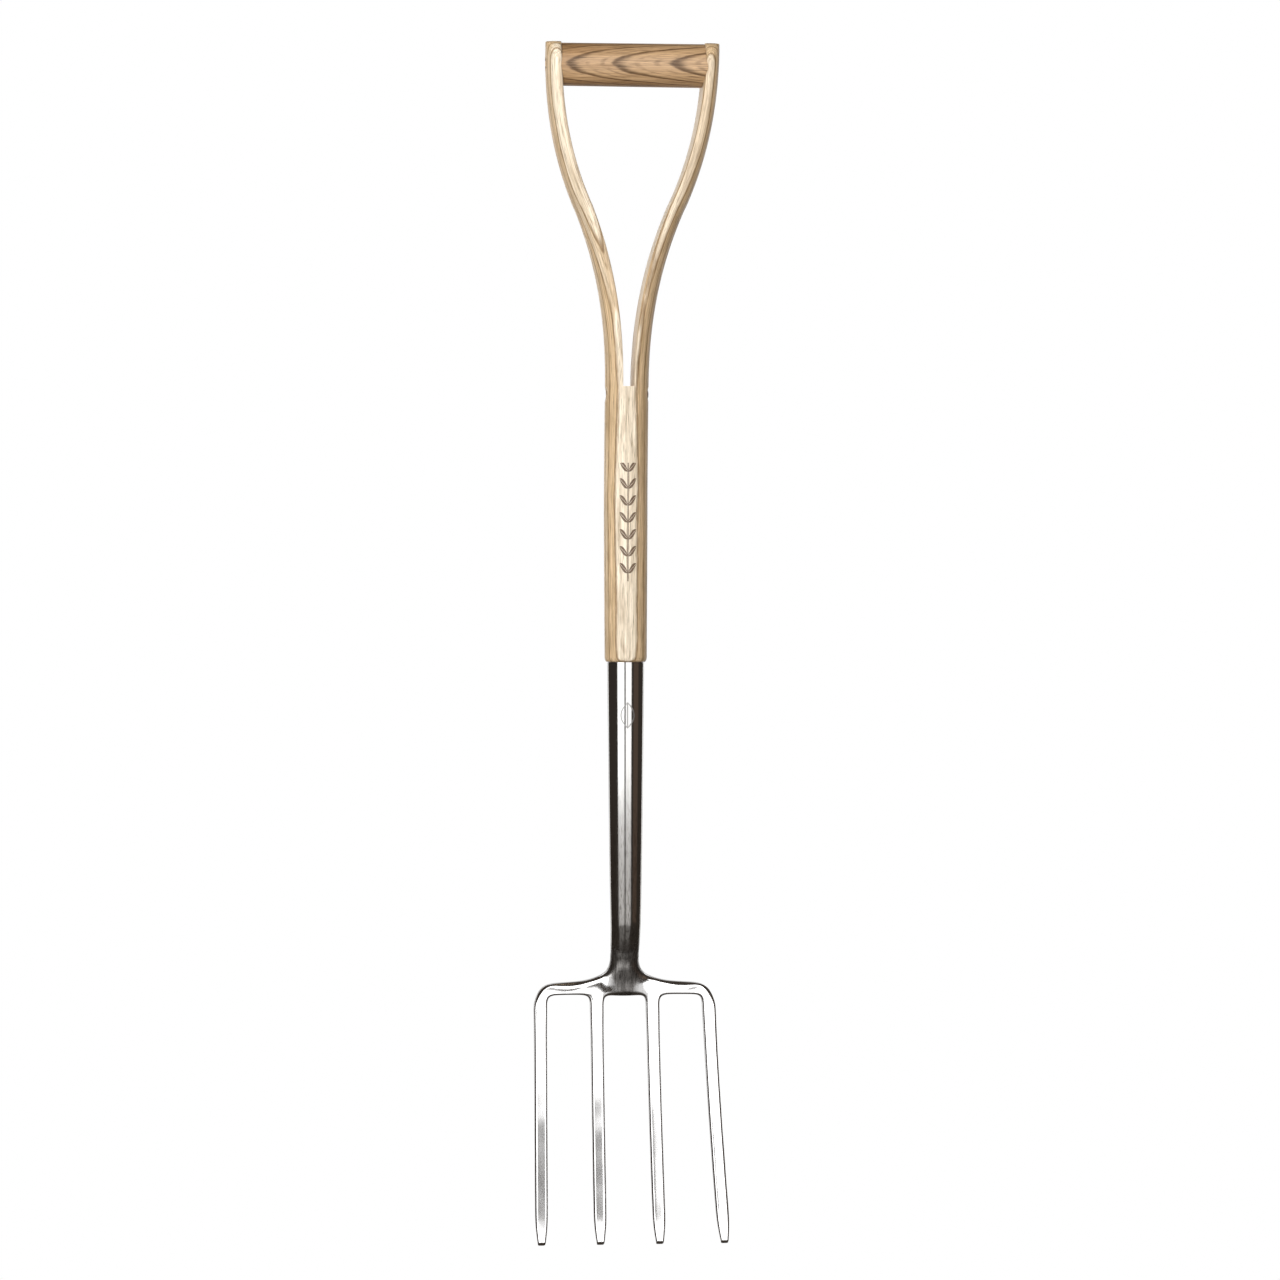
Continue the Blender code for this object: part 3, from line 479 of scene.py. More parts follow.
def wood_material(name, pith, ring, warp, sapwood, pale, tan, brown, arms_from=None, sprig_at=None):
    """Ash: growth layers cut by the surface, with pores and fibres along the grain.

    From layer sapwood on the wood is paler. arms_from is the height where a split blank's arms
    start, and sprig_at the lower end, upper end and half width of a burned sprig on the front.
    """
    g = Graph(name)
    grain = g.attribute("grain")
    x, y, z = g.split(grain)
    layers, fine = growth_layers(g, grain, pith, ring, warp)
    if arms_from is not None:
        # the bent left arm runs out of the straight layers, and both grow paler upward
        run_out = g.wave(z, arms_from + 0.05, arms_from + 0.20, 0.0, 1.25)
        layers = g.times_plus(g.below(x, 0.0), run_out, layers)
        sapwood = g.wave(z, arms_from + 0.02, arms_from + 0.24, sapwood, sapwood + 3.4)

    # the outermost layers are pale; deeper ones have a tone each
    tone_at = g.join(g.math("FLOOR", layers), 0.37, 0.0)
    own_tone = g.node("ShaderNodeTexWhiteNoise", {"Vector": tone_at}, noise_dimensions="3D")
    soft_tone = g.stretched_noise(grain, (70.0, 70.0, 5.0))
    tone = g.times_plus(soft_tone, 0.6, g.times(own_tone.outputs["Value"], 0.4))
    outermost = g.wave(g.math("SUBTRACT", layers, sapwood), -0.05, 0.05)
    tone = g.times_plus(outermost, 0.25, tone)
    body = g.blend(g.wave(tone, 0.42, 0.72), tan, pale)
    line = layer_lines(g, grain, layers, fine)
    colour = g.blend(line, body, brown)

    # pores: short dark dashes, thick in the line, sparse elsewhere
    dash = g.stretched_noise(grain, (1900.0, 1900.0, 75.0), roughness=0.6)
    pore = g.wave(g.times_plus(line, 0.12, dash), 0.56, 0.68)
    colour = g.blend(g.times(pore, 0.50), colour, tuple(part * 0.5 for part in brown))

    if arms_from is not None:
        # painted light: the faces of the slot inside the Y are blended towards pale, lightening the
        # shade that falls between the arms
        slot_painted_light = g.wave(g.size_of(x), SLOT_HALF + 0.0008, SLOT_HALF + 0.0002)
        slot_painted_light = g.times(slot_painted_light, g.above(z, arms_from))
        colour = g.blend(g.times(slot_painted_light, 0.75), colour, pale)

    # fibres: light and dark streaks a millimetre or so wide, the dark ones warmer
    fibre = g.stretched_noise(grain, (1050.0, 1050.0, 30.0), detail=4.0, roughness=0.65)
    mottle = g.stretched_noise(grain, (300.0, 300.0, 16.0), detail=3.0)
    shade = g.times(g.wave(fibre, 0.32, 0.68, 0.72, 1.12), g.wave(mottle, 0.3, 0.7, 0.92, 1.05))
    warm_shade = g.join(shade, g.math("POWER", shade, 1.12), g.math("POWER", shade, 1.35))
    colour = g.blend(1.0, colour, warm_shade, "MULTIPLY")
    height = g.times_plus(pore, -1.0, g.times(fibre, 0.3))

    if sprig_at is not None:
        char = g.wave(g.noise(grain, 1800.0), 0.25, 0.55, 0.75, 1.0)
        burn = g.times(g.times(sprig_mask(g, x, z, *sprig_at), char), g.below(y, 0.0))
        colour = g.blend(g.times(burn, 0.94), colour, (0.105, 0.048, 0.018))
        height = g.times_plus(burn, -4.0, height)

    return g.finish(Base_Color=colour, Roughness=g.times_plus(fibre, 0.16, 0.36),
                    Normal=g.bump(height, 0.00006, 0.8), Coat_Weight=0.22,
                    Coat_Roughness=0.32, Specular_IOR_Level=0.42)


def sprig_mask(g, x, z, low, high, half_width):
    """Plain leafy sprig along the grain: a stem with pairs of slanting leaves."""
    leaf_pairs, leaf_slope, leaf_belly = 7, 1.1, 0.0125
    stem_half, vein_half = 0.00045, 0.00022
    pitch = (high - low) / leaf_pairs
    along = g.math("SUBTRACT", z, low)
    aside = g.size_of(x)
    inside = g.times(g.above(along, 0.0), g.below(along, high - low))
    stem = g.below(aside, stem_half)
    # a leaf leans outward: measure along and across its own slanting middle line
    slant = g.times_plus(aside, -leaf_slope, along)
    cell = g.math("SUBTRACT", g.math("FRACT", g.math("DIVIDE", slant, pitch)), 0.5)
    offset = g.size_of(g.times(cell, pitch))
    reach = g.math("DIVIDE", aside, half_width, clamp=True)
    belly = g.times(g.times(reach, g.math("SUBTRACT", 1.0, reach)), leaf_belly)
    leaf = g.times(g.below(offset, belly), g.above(slant, 0.0))
    leaf = g.times(leaf, g.above(offset, vein_half))
    return g.times(g.math("MAXIMUM", stem, leaf), inside)


def arm_heights(start, top, arm_rings, cap_rings):
    """Heights of the arm's sections: even up to the grip's middle, then closing over its top."""
    heights = [mix(start, GRIP_Z, i / arm_rings) for i in range(arm_rings + 1)]
    last_angle = math.asin((top - GRIP_Z) / ARM_TOP_HALF_DEPTH)
    for i in range(1, cap_rings + 1):
        heights.append(GRIP_Z + ARM_TOP_HALF_DEPTH * math.sin(last_angle * i / cap_rings))
    return heights


def ring_faces(bm, lower, upper, closed):
    count = len(lower) if closed else len(lower) - 1
    for i in range(count):
        j = (i + 1) % len(lower)
        bm.faces.new((lower[i], lower[j], upper[j], upper[i]))


def handle_mesh(arc_steps, corner_steps, flat_steps, arm_rings, grow=0.0, with_shaft=True):
    """Right half of the handle, open at x = 0, or the closed right arm alone as a cutter."""
    cap_rings, ease_rings, shaft_rings, round_rings, tenon_rings = 20, 5, 70, 10, 6
    bm = bmesh.new()
    start = CROTCH_Z if with_shaft else ARM_MID_Z
    outer_count = arc_steps + 1

    def ring_at(height, inset=0.0):
        outer, inner = arm_outline(height, arc_steps, corner_steps, flat_steps, grow - inset)
        return [bm.verts.new((p.x, p.y, height)) for p in outer + inner]

    ease = 0.0 if grow else ARM_TOP_EASE
    heights = arm_heights(start, ARM_TOP_Z - ease, arm_rings, cap_rings)
    rings = [ring_at(height) for height in heights]
    if grow:
        for vertex in rings[-1]:
            vertex.co.z += CUTTER_OVERRUN
    else:
        for i in range(1, ease_rings + 1):
            angle = math.pi / 2 * i / ease_rings
            height = ARM_TOP_Z - ease + ease * math.sin(angle)
            rings.append(ring_at(height, ease * (1 - math.cos(angle))))
    for lower, upper in zip(rings, rings[1:]):
        ring_faces(bm, lower, upper, True)
    bm.faces.new(rings[-1])
    if not with_shaft:
        bm.faces.new(list(reversed(rings[0])))
        return mesh_from(bm, "arm")

    crotch = rings[0]
    spine = depth_at(CROTCH_Z)
    angles = [math.atan2(v.co.y - spine, v.co.x) for v in crotch[:outer_count]]
    angles = [-math.pi / 2] + angles + [math.pi / 2]

    def half_ring(radius, height):
        ring = []
        for angle in angles:
            x = 0.0 if abs(angle) == math.pi / 2 else radius * math.cos(angle)
            ring.append(bm.verts.new((x, radius * math.sin(angle) + depth_at(height), height)))
        return ring

    front = bm.verts.new((0.0, spine - SHAFT_R, CROTCH_Z))
    back = bm.verts.new((0.0, spine + SHAFT_R, CROTCH_Z))
    chain = [crotch[outer_count - 1]] + crotch[outer_count:] + [crotch[0]]
    middle = [back] + [bm.verts.new((0.0, v.co.y, CROTCH_Z)) for v in chain[1:-1]] + [front]
    for i in range(len(chain) - 1):
        bm.faces.new((chain[i], middle[i], middle[i + 1], chain[i + 1]))

    above = [front] + crotch[:outer_count] + [back]
    shaft_low = SHOULDER_Z + SHOULDER_ROUND
    heights = [mix(CROTCH_Z, shaft_low, t / shaft_rings) for t in range(1, shaft_rings + 1)]
    for i in range(1, round_rings + 1):
        heights.append(SHOULDER_Z + SHOULDER_ROUND * (1 - math.sin(math.pi / 2 * i / round_rings)))
    stations = [(shaft_radius(z), z) for z in heights]
    for i in range(tenon_rings + 1):
        z = mix(SHOULDER_Z, TENON_BOTTOM_Z, i / tenon_rings)
        stations.append((socket_radius(z) - SOCKET_WALL - FIT_GAP, z))
    for radius, height in stations:
        ring = half_ring(radius, height)
        ring_faces(bm, ring, above, False)
        above = ring
    bm.faces.new(list(reversed(above)))
    return mesh_from(bm, "handle")


def arm_outer_x(height):
    return arm_outline(height, 2, 1, 1)[0][1].x


def arm_inner_x(height):
    return arm_outline(height, 2, 1, 2)[1][1].x


def grip_end_floor():
    return arm_outer_x(GRIP_Z) - GRIP_RECESS_DEPTH - GRIP_END_SINK


def drilling(height, steps):
    """Stepped drill along X through the tool's centre line, as (radius, x) from right to left."""
    mesh = turned_mesh(steps, sides=64)
    mesh.transform(across_at(height))
    return mesh


def handle_grain(point):
    """Where a point of the handle lay in the straight blank before the arms were bent."""
    x, y, z = point
    if z > CROTCH_Z:
        middle, stretch = arm_middle(z)
        x = math.copysign(ARM_LOW_X + (abs(x) - middle) / stretch, x)
    return x, y - depth_at(z), z


def make_handle(material):
    half = handle_mesh(arc_steps=36, corner_steps=6, flat_steps=8, arm_rings=110)
    blank = scratch_object(half)
    mirror = blank.modifiers.new("Mirror", "MIRROR")
    mirror.use_axis = (True, False, False)
    mirror.merge_threshold = MERGE_DISTANCE
    whole = evaluated_mesh(blank)

    cutters = []
    outside = 2 * SHAFT_R
    throat_y = depth_at(THROAT_RIVET_Z)
    for side in (-1, 1):
        x = side * (SHAFT_R - SCALLOP_DEPTH + SCALLOP_R)
        front = (x, throat_y - outside, THROAT_RIVET_Z)
        back = (x, throat_y + outside, THROAT_RIVET_Z)
        cutters.append(bar_between(front, back, SCALLOP_R, sides=256))

    head_r, end_r = THROAT_HEAD_R + 2 * FIT_GAP, THROAT_END_R + 2 * FIT_GAP
    hole_r = THROAT_RIVET_R + FIT_GAP
    cutters.append(drilling(THROAT_RIVET_Z, [
        (0.0, outside), (head_r, outside),
        (head_r, THROAT_HEAD_FLOOR), (hole_r, THROAT_HEAD_FLOOR),
        (hole_r, -THROAT_END_FLOOR), (end_r, -THROAT_END_FLOOR),
        (end_r, -outside), (0.0, -outside)]))

    outside = ARM_TOP_X + 2 * ARM_TOP_THICK
    recess = arm_outer_x(GRIP_Z) - GRIP_RECESS_DEPTH
    end_r, hole_r = GRIP_END_R + 2 * FIT_GAP, GRIP_RIVET_R + FIT_GAP
    right = [(0.0, outside), (GRIP_RECESS_R, outside),
             (GRIP_RECESS_R, recess), (end_r, recess),
             (end_r, grip_end_floor()), (hole_r, grip_end_floor())]
    cutters.append(drilling(GRIP_Z, right + mirrored(right)))

    bottom = socket_radius(SOCKET_RIVET_Z) - SOCKET_RIVET_LENGTH
    cutters.append(bar_between((0, bottom, SOCKET_RIVET_Z), (0, 3 * SHAFT_R, SOCKET_RIVET_Z),
                               SOCKET_RIVET_R + FIT_GAP))
    mesh = cut(whole, cutters)
    store_vectors(mesh, "grain", handle_grain)
    add_piece("handle_wood", mesh, material, "ash", "ash_shaft")


def grip_grain(point):
    """The grip's grain runs along its length: its right end is the top of its blank."""
    x, y, z = point
    return z - GRIP_Z, y - depth_at(GRIP_Z), x


def make_grip(material):
    half = arm_inner_x(GRIP_Z) + GRIP_REACH
    bore = GRIP_RIVET_R + FIT_GAP
    stations = 48
    outside = [(mix(GRIP_RIGHT_R, GRIP_LEFT_R, i / stations), mix(half, -half, i / stations))
               for i in range(stations + 1)]
    mesh = turned_mesh(outside + [(bore, -half), (bore, half)])
    mesh.transform(across_at(GRIP_Z))
    right = handle_mesh(arc_steps=36, corner_steps=8, flat_steps=2, arm_rings=36,
                        grow=FIT_GAP, with_shaft=False)
    left = right.copy()
    left.transform(Matrix.Scale(-1, 4, (1, 0, 0)))
    left.flip_normals()
    mesh = cut(mesh, [right, left])
    store_vectors(mesh, "grain", grip_grain)
    add_piece("grip_wood", mesh, material, "ash_grip", "grip")


# ---- steel ----
def hammered(mesh, amount, size):
    """Moves every vertex a little along its normal, as hand forging and grinding leave it."""
    moves = [vertex.normal * (noise.noise(vertex.co / size) * amount) for vertex in mesh.vertices]
    for vertex, move in zip(mesh.vertices, moves):
        vertex.co += move


def ground_steel(g, spot):
    """Tint and height of steel ground coarsely round the weld, streaked up and down."""
    grit = g.stretched_noise(spot, (1300.0, 1300.0, 800.0), detail=4.0, roughness=0.7)
    streaks = g.stretched_noise(spot, (620.0, 620.0, 55.0), detail=3.0, roughness=0.65)
    mixed = g.times_plus(streaks, 0.5, g.times(grit, 0.5))
    tint = g.blend(g.wave(mixed, 0.38, 0.62), (0.15, 0.142, 0.134), (0.46, 0.445, 0.43))
    return tint, grit


def leaf_mask(g, x, z, low, high, half_width):
    """Plain leaf standing on its point: its outline and middle vein."""
    line_width, vein_half, vein_stop = 0.0011, 0.0005, 0.0008
    t = g.math("DIVIDE", g.math("SUBTRACT", z, low), high - low, clamp=True)
    belly = g.times(g.times(t, g.math("SUBTRACT", 1.0, t)), 4 * half_width)
    aside = g.size_of(x)
    rim = g.times(g.below(aside, belly), g.above(aside, g.math("SUBTRACT", belly, line_width)))
    vein = g.times(g.below(aside, vein_half), g.above(belly, vein_stop))
    return g.math("MAXIMUM", rim, vein)


def tube_material():
    """Polished tube, worn lower down, whose polish ends where the neck was welded and ground."""
    g = Graph("polished_tube_steel")
    spot = g.attribute("place")
    x, y, z = g.split(spot)
    drifted = g.swung(z, g.stretched_noise(spot, (90.0, 90.0, 30.0), detail=3.0), 0.02)
    worn = g.wave(drifted, 0.420, 0.290)
    ground = g.wave(drifted, 0.262, 0.246)
    fine_marks = g.stretched_noise(spot, (900.0, 900.0, 130.0), detail=3.0, roughness=0.7)
    long_marks = g.stretched_noise(spot, (700.0, 700.0, 8.0))
    etched = g.times(leaf_mask(g, x, z, 0.444, 0.467, 0.0062), g.below(y, 0.0))

    tint = g.blend(worn, (0.60, 0.595, 0.585), (0.50, 0.485, 0.465))
    dark, grit = ground_steel(g, spot)
    tint = g.blend(ground, tint, dark)
    marked = g.times(worn, g.wave(fine_marks, 0.52, 0.36, 0.0, 0.75))
    tint = g.blend(marked, tint, (0.24, 0.225, 0.21))
    tint = g.blend(g.times(etched, 0.7), tint, (0.30, 0.295, 0.29))
    rough = g.times_plus(worn, 0.05, g.times_plus(long_marks, 0.04, 0.10))
    rough = g.times_plus(ground, 0.18, g.times_plus(etched, 0.32, rough))
    height = g.times_plus(g.times(grit, ground), 0.8, g.times(long_marks, 0.10))
    height = g.times_plus(g.times(fine_marks, worn), 0.10, height)
    return g.finish_steel(tint, rough, height, 0.00004)


def weld_material():
    g = Graph("ground_weld_steel")
    tint, grit = ground_steel(g, g.attribute("place"))
    return g.finish_steel(tint, g.wave(grit, 0.2, 0.8, 0.34, 0.46), grit, 0.00004)


def head_material():
    """Bright satin forging, left dark and grainy where the neck spreads into the crossbar."""
    g = Graph("satin_head_steel")
    spot = g.attribute("place")
    x, y, z = g.split(spot)
    # the dark area: wide at the neck, narrowing to the underside, with a ragged edge
    cloud = g.stretched_noise(spot, (190.0, 190.0, 120.0), detail=4.0, roughness=0.6)
    across = g.times_plus(g.math("SUBTRACT", 0.2345, z), 0.42, g.size_of(x))
    dark = g.wave(g.swung(across, cloud, 0.016), 0.0225, 0.0125)
    brushed = g.stretched_noise(spot, (620.0, 620.0, 14.0), detail=3.0)
    tint = g.blend(g.wave(brushed, 0.3, 0.75), (0.93, 0.93, 0.925), (0.80, 0.80, 0.805))
    sooty, grit = ground_steel(g, spot)
    tint = g.blend(dark, tint, sooty)
    rough = g.times_plus(dark, 0.24, g.times_plus(brushed, 0.04, 0.085))
    height = g.times_plus(g.times(grit, dark), 0.8, g.times(brushed, 0.014))
    return g.finish_steel(tint, rough, height, 0.00005)


def rivet_material():
    g = Graph("dark_rivet_steel")
    stain = g.noise(g.attribute("place"), 900.0, 4.0, 0.65)
    tint = g.blend(g.wave(stain, 0.3, 0.7), (0.085, 0.07, 0.06), (0.30, 0.27, 0.24))
    return g.finish_steel(tint, g.wave(stain, 0.3, 0.7, 0.52, 0.34), stain, 0.00006, 0.8)


def make_tube(material):
    stations = 90
    heights = [mix(SHOULDER_Z - FIT_GAP, SOCKET_BOTTOM_Z, (i / stations) ** 0.9)
               for i in range(stations + 1)]
    inner_heights = heights[::-6]
    outside = [(socket_radius(z), z) for z in heights]
    inside = [(socket_radius(z) - SOCKET_WALL, z) for z in inner_heights]
    mesh = turned_mesh(outside + inside, sides=128)
    bend_to_spine(mesh)
    wall, reach = socket_radius(SOCKET_RIVET_Z), 0.006
    hole = bar_between((0, wall - reach, SOCKET_RIVET_Z), (0, wall + reach, SOCKET_RIVET_Z),
                       SOCKET_RIVET_R + FIT_GAP)
    mesh = cut(mesh, [hole])
    store_vectors(mesh, "place", tuple)
    add_piece("socket_tube_polished", mesh, material, "socket_steel", "socket_tube")


def make_weld(material):
    # the metal is smeared a little over both edges, thinning to almost nothing
    smear, crown, film = 0.0016, 0.00022, 0.00002
    low = NECK_TOP_Z - smear
    high = SOCKET_BOTTOM_Z + smear
    inner = SOCKET_LOW_R - SOCKET_WALL
    steps = 24
    outside = []
    for i in range(steps + 1):
        t = i / steps
        z = mix(high, low, t)
        radius = max(socket_radius(z), mix(SOCKET_LOW_R, NECK_R, t))
        outside.append((radius + crown * math.sin(math.pi * t) ** 2 + film, z))
    bottom, top = NECK_TOP_Z + FIT_GAP, SOCKET_BOTTOM_Z - FIT_GAP
    lip = [(SOCKET_LOW_R, low), (SOCKET_LOW_R, bottom), (inner, bottom),
           (inner, top), (SOCKET_LOW_R, top), (SOCKET_LOW_R, high)]
    mesh = turned_mesh(outside + lip, sides=128)
    bend_to_spine(mesh)
    store_vectors(mesh, "place", tuple)
    add_piece("neck_weld_ground", mesh, material, "weld_metal", "neck_weld")


class HeadPlan:
    """Front-view quads of the head, thickened into a closed cage, one side at a time."""

    def __init__(self):
        self.points = {}
        self.creases = {}
        self.quads = []
        self.side = "right"

    def shaped(self, name, x, z, half_depth, inset, side, crease=0.0):
        key = name if x == 0.0 else self.side + "_" + name
        signed = x if self.side == "right" else -x
        self.points[key] = (signed, z, half_depth, inset, side)
        self.creases[key] = crease
        return key

    def square(self, name, x, z, depth, edge=TINE_EDGE, crease=RIM_CREASE):
        return self.shaped(name, x, z, depth / 2, edge, depth / 2 - edge, crease)

    def quad(self, *keys):
        self.quads.append(keys if self.side == "right" else tuple(reversed(keys)))

    def rim_edges(self):
        """Edges that belong to one quad only, in that quad's direction."""
        edges = [(keys[i], keys[(i + 1) % 4]) for keys in self.quads for i in range(4)]
        count = {}
        for edge in edges:
            count[frozenset(edge)] = count.get(frozenset(edge), 0) + 1
        return [edge for edge in edges if count[frozenset(edge)] == 1]

    def build(self, name):
        bm = bmesh.new()
        rim = self.rim_edges()
        inward = {}
        for first, second in rim:
            run = (Vector(self.points[second][:2]) - Vector(self.points[first][:2])).normalized()
            for key in (first, second):
                inward.setdefault(key, []).append(Vector((-run.y, run.x)))
        corners = {}
        for key, (x, z, half_depth, inset, side) in self.points.items():
            spine = depth_at(z)
            shift = Vector((0.0, 0.0))
            if key in inward:
                total = sum(inward[key], Vector((0.0, 0.0)))
                shift = total * (len(inward[key]) * inset / max(total.length_squared, 0.25))
            corners[key] = [bm.verts.new((x + shift.x, spine - half_depth, z + shift.y)),
                            bm.verts.new((x + shift.x, spine + half_depth, z + shift.y))]
            if key in inward:
                corners[key].append(bm.verts.new((x, spine - side, z)))
                corners[key].append(bm.verts.new((x, spine + side, z)))
        for keys in self.quads:
            bm.faces.new([corners[key][0] for key in keys])
            bm.faces.new([corners[key][1] for key in reversed(keys)])
        sharpness = bm.edges.layers.float.new("crease_edge")
        for first, second in rim:
            a, b = corners[first], corners[second]
            bm.faces.new((b[0], a[0], a[2], b[2]))
            bm.faces.new((b[2], a[2], a[3], b[3]))
            bm.faces.new((b[3], a[3], a[1], b[1]))
            crease = min(self.creases[first], self.creases[second])
            for start, end in zip(a, b):
                bm.edges.get((start, end))[sharpness] = crease
        return mesh_from(bm, name)


def tine_depth(height):
    return mix(TINE_DEPTH_TIP, TINE_DEPTH_TOP, min(1.0, height / UNDERSIDE_Z))


def add_tine(plan, place, x, left_top, right_top):
    """Rows of one tine from its root down to its blunt end, joined below two existing points."""
    half = TINE_WIDTH / 2
    rows = [0.199, 0.185, 0.160, 0.130, 0.100, 0.070, 0.045, 0.030, 0.020, 0.010, 0.0, -0.006]
    taper_start, tip_edge, tip_thinning = 0.024, 0.0010, 0.0016
    root_flare = 0.0004
    drift = TIP_DRIFT[plan.side, place]
    left, right = left_top, right_top
    for index, height in enumerate(rows):
        drop = 1.0 - height / UNDERSIDE_Z
        middle = x + drift * drop ** TINE_CURVE
        width = half + (root_flare if index == 0 else 0.0)
        edge = TINE_EDGE
        if height < taper_start:
            closing = (taper_start - height) / taper_start
            width = mix(half, TIP_WIDTH / 2, closing ** 1.6)
            edge = mix(TINE_EDGE, tip_edge, closing)
        depth = tine_depth(height) - tip_thinning * max(0.0, taper_start - height) / taper_start
        new_left = plan.square(f"{place}_l{index}", middle - width, height, depth, edge)
        new_right = plan.square(f"{place}_r{index}", middle + width, height, depth, edge)
        plan.quad(left, new_left, new_right, right)
        left, right = new_left, new_right


def add_side(plan):
    """One side of the neck and crossbar with its two tines, every quad anticlockwise."""
    half = TINE_WIDTH / 2
    root_l, root_r = INNER_TINE_X - half, INNER_TINE_X + half
    end_l, end_r = OUTER_TINE_X - half, OUTER_TINE_X + half
    low = UNDERSIDE_Z
    under = [
        plan.square("under0", 0.0, low - 0.0009, 0.0165, 0.0036),
        plan.square("under1", 0.009, low - 0.0006, 0.0150, 0.0030),
        plan.square("under2", root_l, low, 0.0125),
        plan.square("under3", root_r, low, 0.0115),
        plan.square("under4", 0.0420, low + 0.0004, 0.0105),
        plan.square("under5", 0.0565, low + 0.0002, 0.0105),
        plan.square("under6", end_l, low, 0.0110),
        plan.square("under7", end_r - 0.0002, low - 0.0055, 0.0110),
    ]
    top = [
        plan.shaped("top0", 0.0, 0.2235, 0.0110, 0.0, 0.0),
        plan.shaped("top1", 0.0085, 0.2240, 0.0100, 0.0, 0.0),
        plan.shaped("top2", root_l, 0.2285, 0.0078, 0.0030, 0.0036),
        plan.square("top3", root_r + 0.001, 0.2242, 0.0135, 0.0026, 0.2),
        plan.square("top4", 0.0420, 0.2226, 0.0110, 0.0036, 0.0),
        plan.square("top5", 0.0565, 0.2218, 0.0105, 0.0030, 0.1),
        plan.square("top6", end_l - 0.002, 0.2210, 0.0110),
        plan.square("top7", end_r - 0.0046, 0.2164, 0.0110, 0.0030),
    ]
    for i in range(len(under) - 1):
        plan.quad(under[i], under[i + 1], top[i + 1], top[i])

    # round neck: points spread evenly round each ring, on a radius that subdivision draws in
    turn = 2 * math.pi / NECK_POINTS
    draw_in = 2 / 3 + math.cos(turn) / 3
    rings = ((0.2335, NECK_R * 1.16), (0.2385, NECK_R * 1.04), (0.2440, NECK_R), (0.2500, NECK_R))
    below = top[:3]
    for index, (height, radius) in enumerate(rings):
        reach = radius / draw_in
        edge_x = reach * math.sin(3 * turn)
        inset = edge_x - reach * math.sin(2 * turn)
        ring = [
            plan.shaped(f"neck0_{index}", 0.0, height, reach, 0.0, 0.0),
            plan.shaped(f"neck1_{index}", reach * math.sin(turn), height,
                        reach * math.cos(turn), 0.0, 0.0),
            plan.shaped(f"neck2_{index}", edge_x, height, reach * math.cos(2 * turn), inset,
                        reach * math.cos(3 * turn)),
        ]
        plan.quad(below[0], below[1], ring[1], ring[0])
        plan.quad(below[1], below[2], ring[2], ring[1])
        below = ring
    add_tine(plan, "inner", INNER_TINE_X, under[2], under[3])
    add_tine(plan, "outer", OUTER_TINE_X, under[6], under[7])


def sliced(mesh, point, normal):
    """Mesh with everything on the normal's side of a plane cut off and the cuts closed flat."""
    bm = bmesh.new()
    bm.from_mesh(mesh)
    made = bmesh.ops.bisect_plane(bm, geom=bm.verts[:] + bm.edges[:] + bm.faces[:],
                                  plane_co=point, plane_no=normal, clear_outer=True)
    rim = [part for part in made["geom_cut"] if isinstance(part, bmesh.types.BMEdge)]
    bmesh.ops.holes_fill(bm, edges=rim, sides=0)
    return mesh_from(bm, "sliced")


def make_head(material):
    plan = HeadPlan()
    for side in ("right", "left"):
        plan.side = side
        add_side(plan)
    blank = scratch_object(plan.build("cage"))
    smooth = blank.modifiers.new("Smooth", "SUBSURF")
    smooth.levels = smooth.render_levels = 3
    mesh = evaluated_mesh(blank)
    hammered(mesh, amount=0.00008, size=0.021)
    mesh = sliced(mesh, (0, 0, NECK_TOP_Z), (0, 0, 1))
    tip_back = depth_at(0.0) + TINE_DEPTH_TIP / 2
    down_and_forward = (0.0, -math.sin(TIP_BEVEL), -math.cos(TIP_BEVEL))
    mesh = sliced(mesh, (0, tip_back, 0), down_and_forward)
    store_vectors(mesh, "place", tuple)
    add_piece("forged_head", mesh, material, "head_steel", "fork_head")


# ---- fasteners ----
def dome(radius, height, base, steps=10):
    points = []
    for i in range(steps + 1):
        angle = math.pi / 2 * i / steps
        points.append((radius * math.sin(angle), base + height * math.cos(angle)))
    return points


def make_fasteners(steel):
    def fastener(name, profile, node, place):
        mesh = turned_mesh(profile, sides=64)
        mesh.transform(place)
        store_vectors(mesh, "place", tuple)
        add_piece(name, mesh, steel, "rivet_steel", node)

    # rod through both arms and the grip, clenched at each end
    seat = grip_end_floor() + FIT_GAP
    end = dome(GRIP_END_R, 0.0007, seat) + [(GRIP_RIVET_R, seat)]
    fastener("grip_rivet_clenched", end + mirrored(end), "grip_rivet", across_at(GRIP_Z))

    # domed head at the right of the throat, clenched end sunk in the left
    head_seat = THROAT_HEAD_FLOOR + FIT_GAP
    left_seat = THROAT_END_FLOOR + FIT_GAP
    rim = 0.0005
    head = dome(THROAT_HEAD_R, SHAFT_R - head_seat - rim, head_seat + rim)
    head += [(THROAT_HEAD_R, head_seat), (THROAT_RIVET_R, head_seat)]
    end = dome(THROAT_END_R, 0.0005, left_seat) + [(THROAT_RIVET_R, left_seat)]
    fastener("throat_rivet_domed", head + mirrored(end), "throat_rivet",
             across_at(THROAT_RIVET_Z))

    # domed head at the back of the socket
    seat = socket_radius(SOCKET_RIVET_Z) + FIT_GAP
    bottom = seat - SOCKET_RIVET_LENGTH + 0.001
    shank = [(SOCKET_RIVET_R, seat), (SOCKET_RIVET_R, bottom), (0.0, bottom)]
    at_the_back = (Matrix.Translation((0, 0, SOCKET_RIVET_Z))
                   @ Matrix.Rotation(-math.pi / 2, 4, "X"))
    fastener("socket_rivet_domed", dome(0.0040, 0.0016, seat) + shank, "socket_rivet", at_the_back)


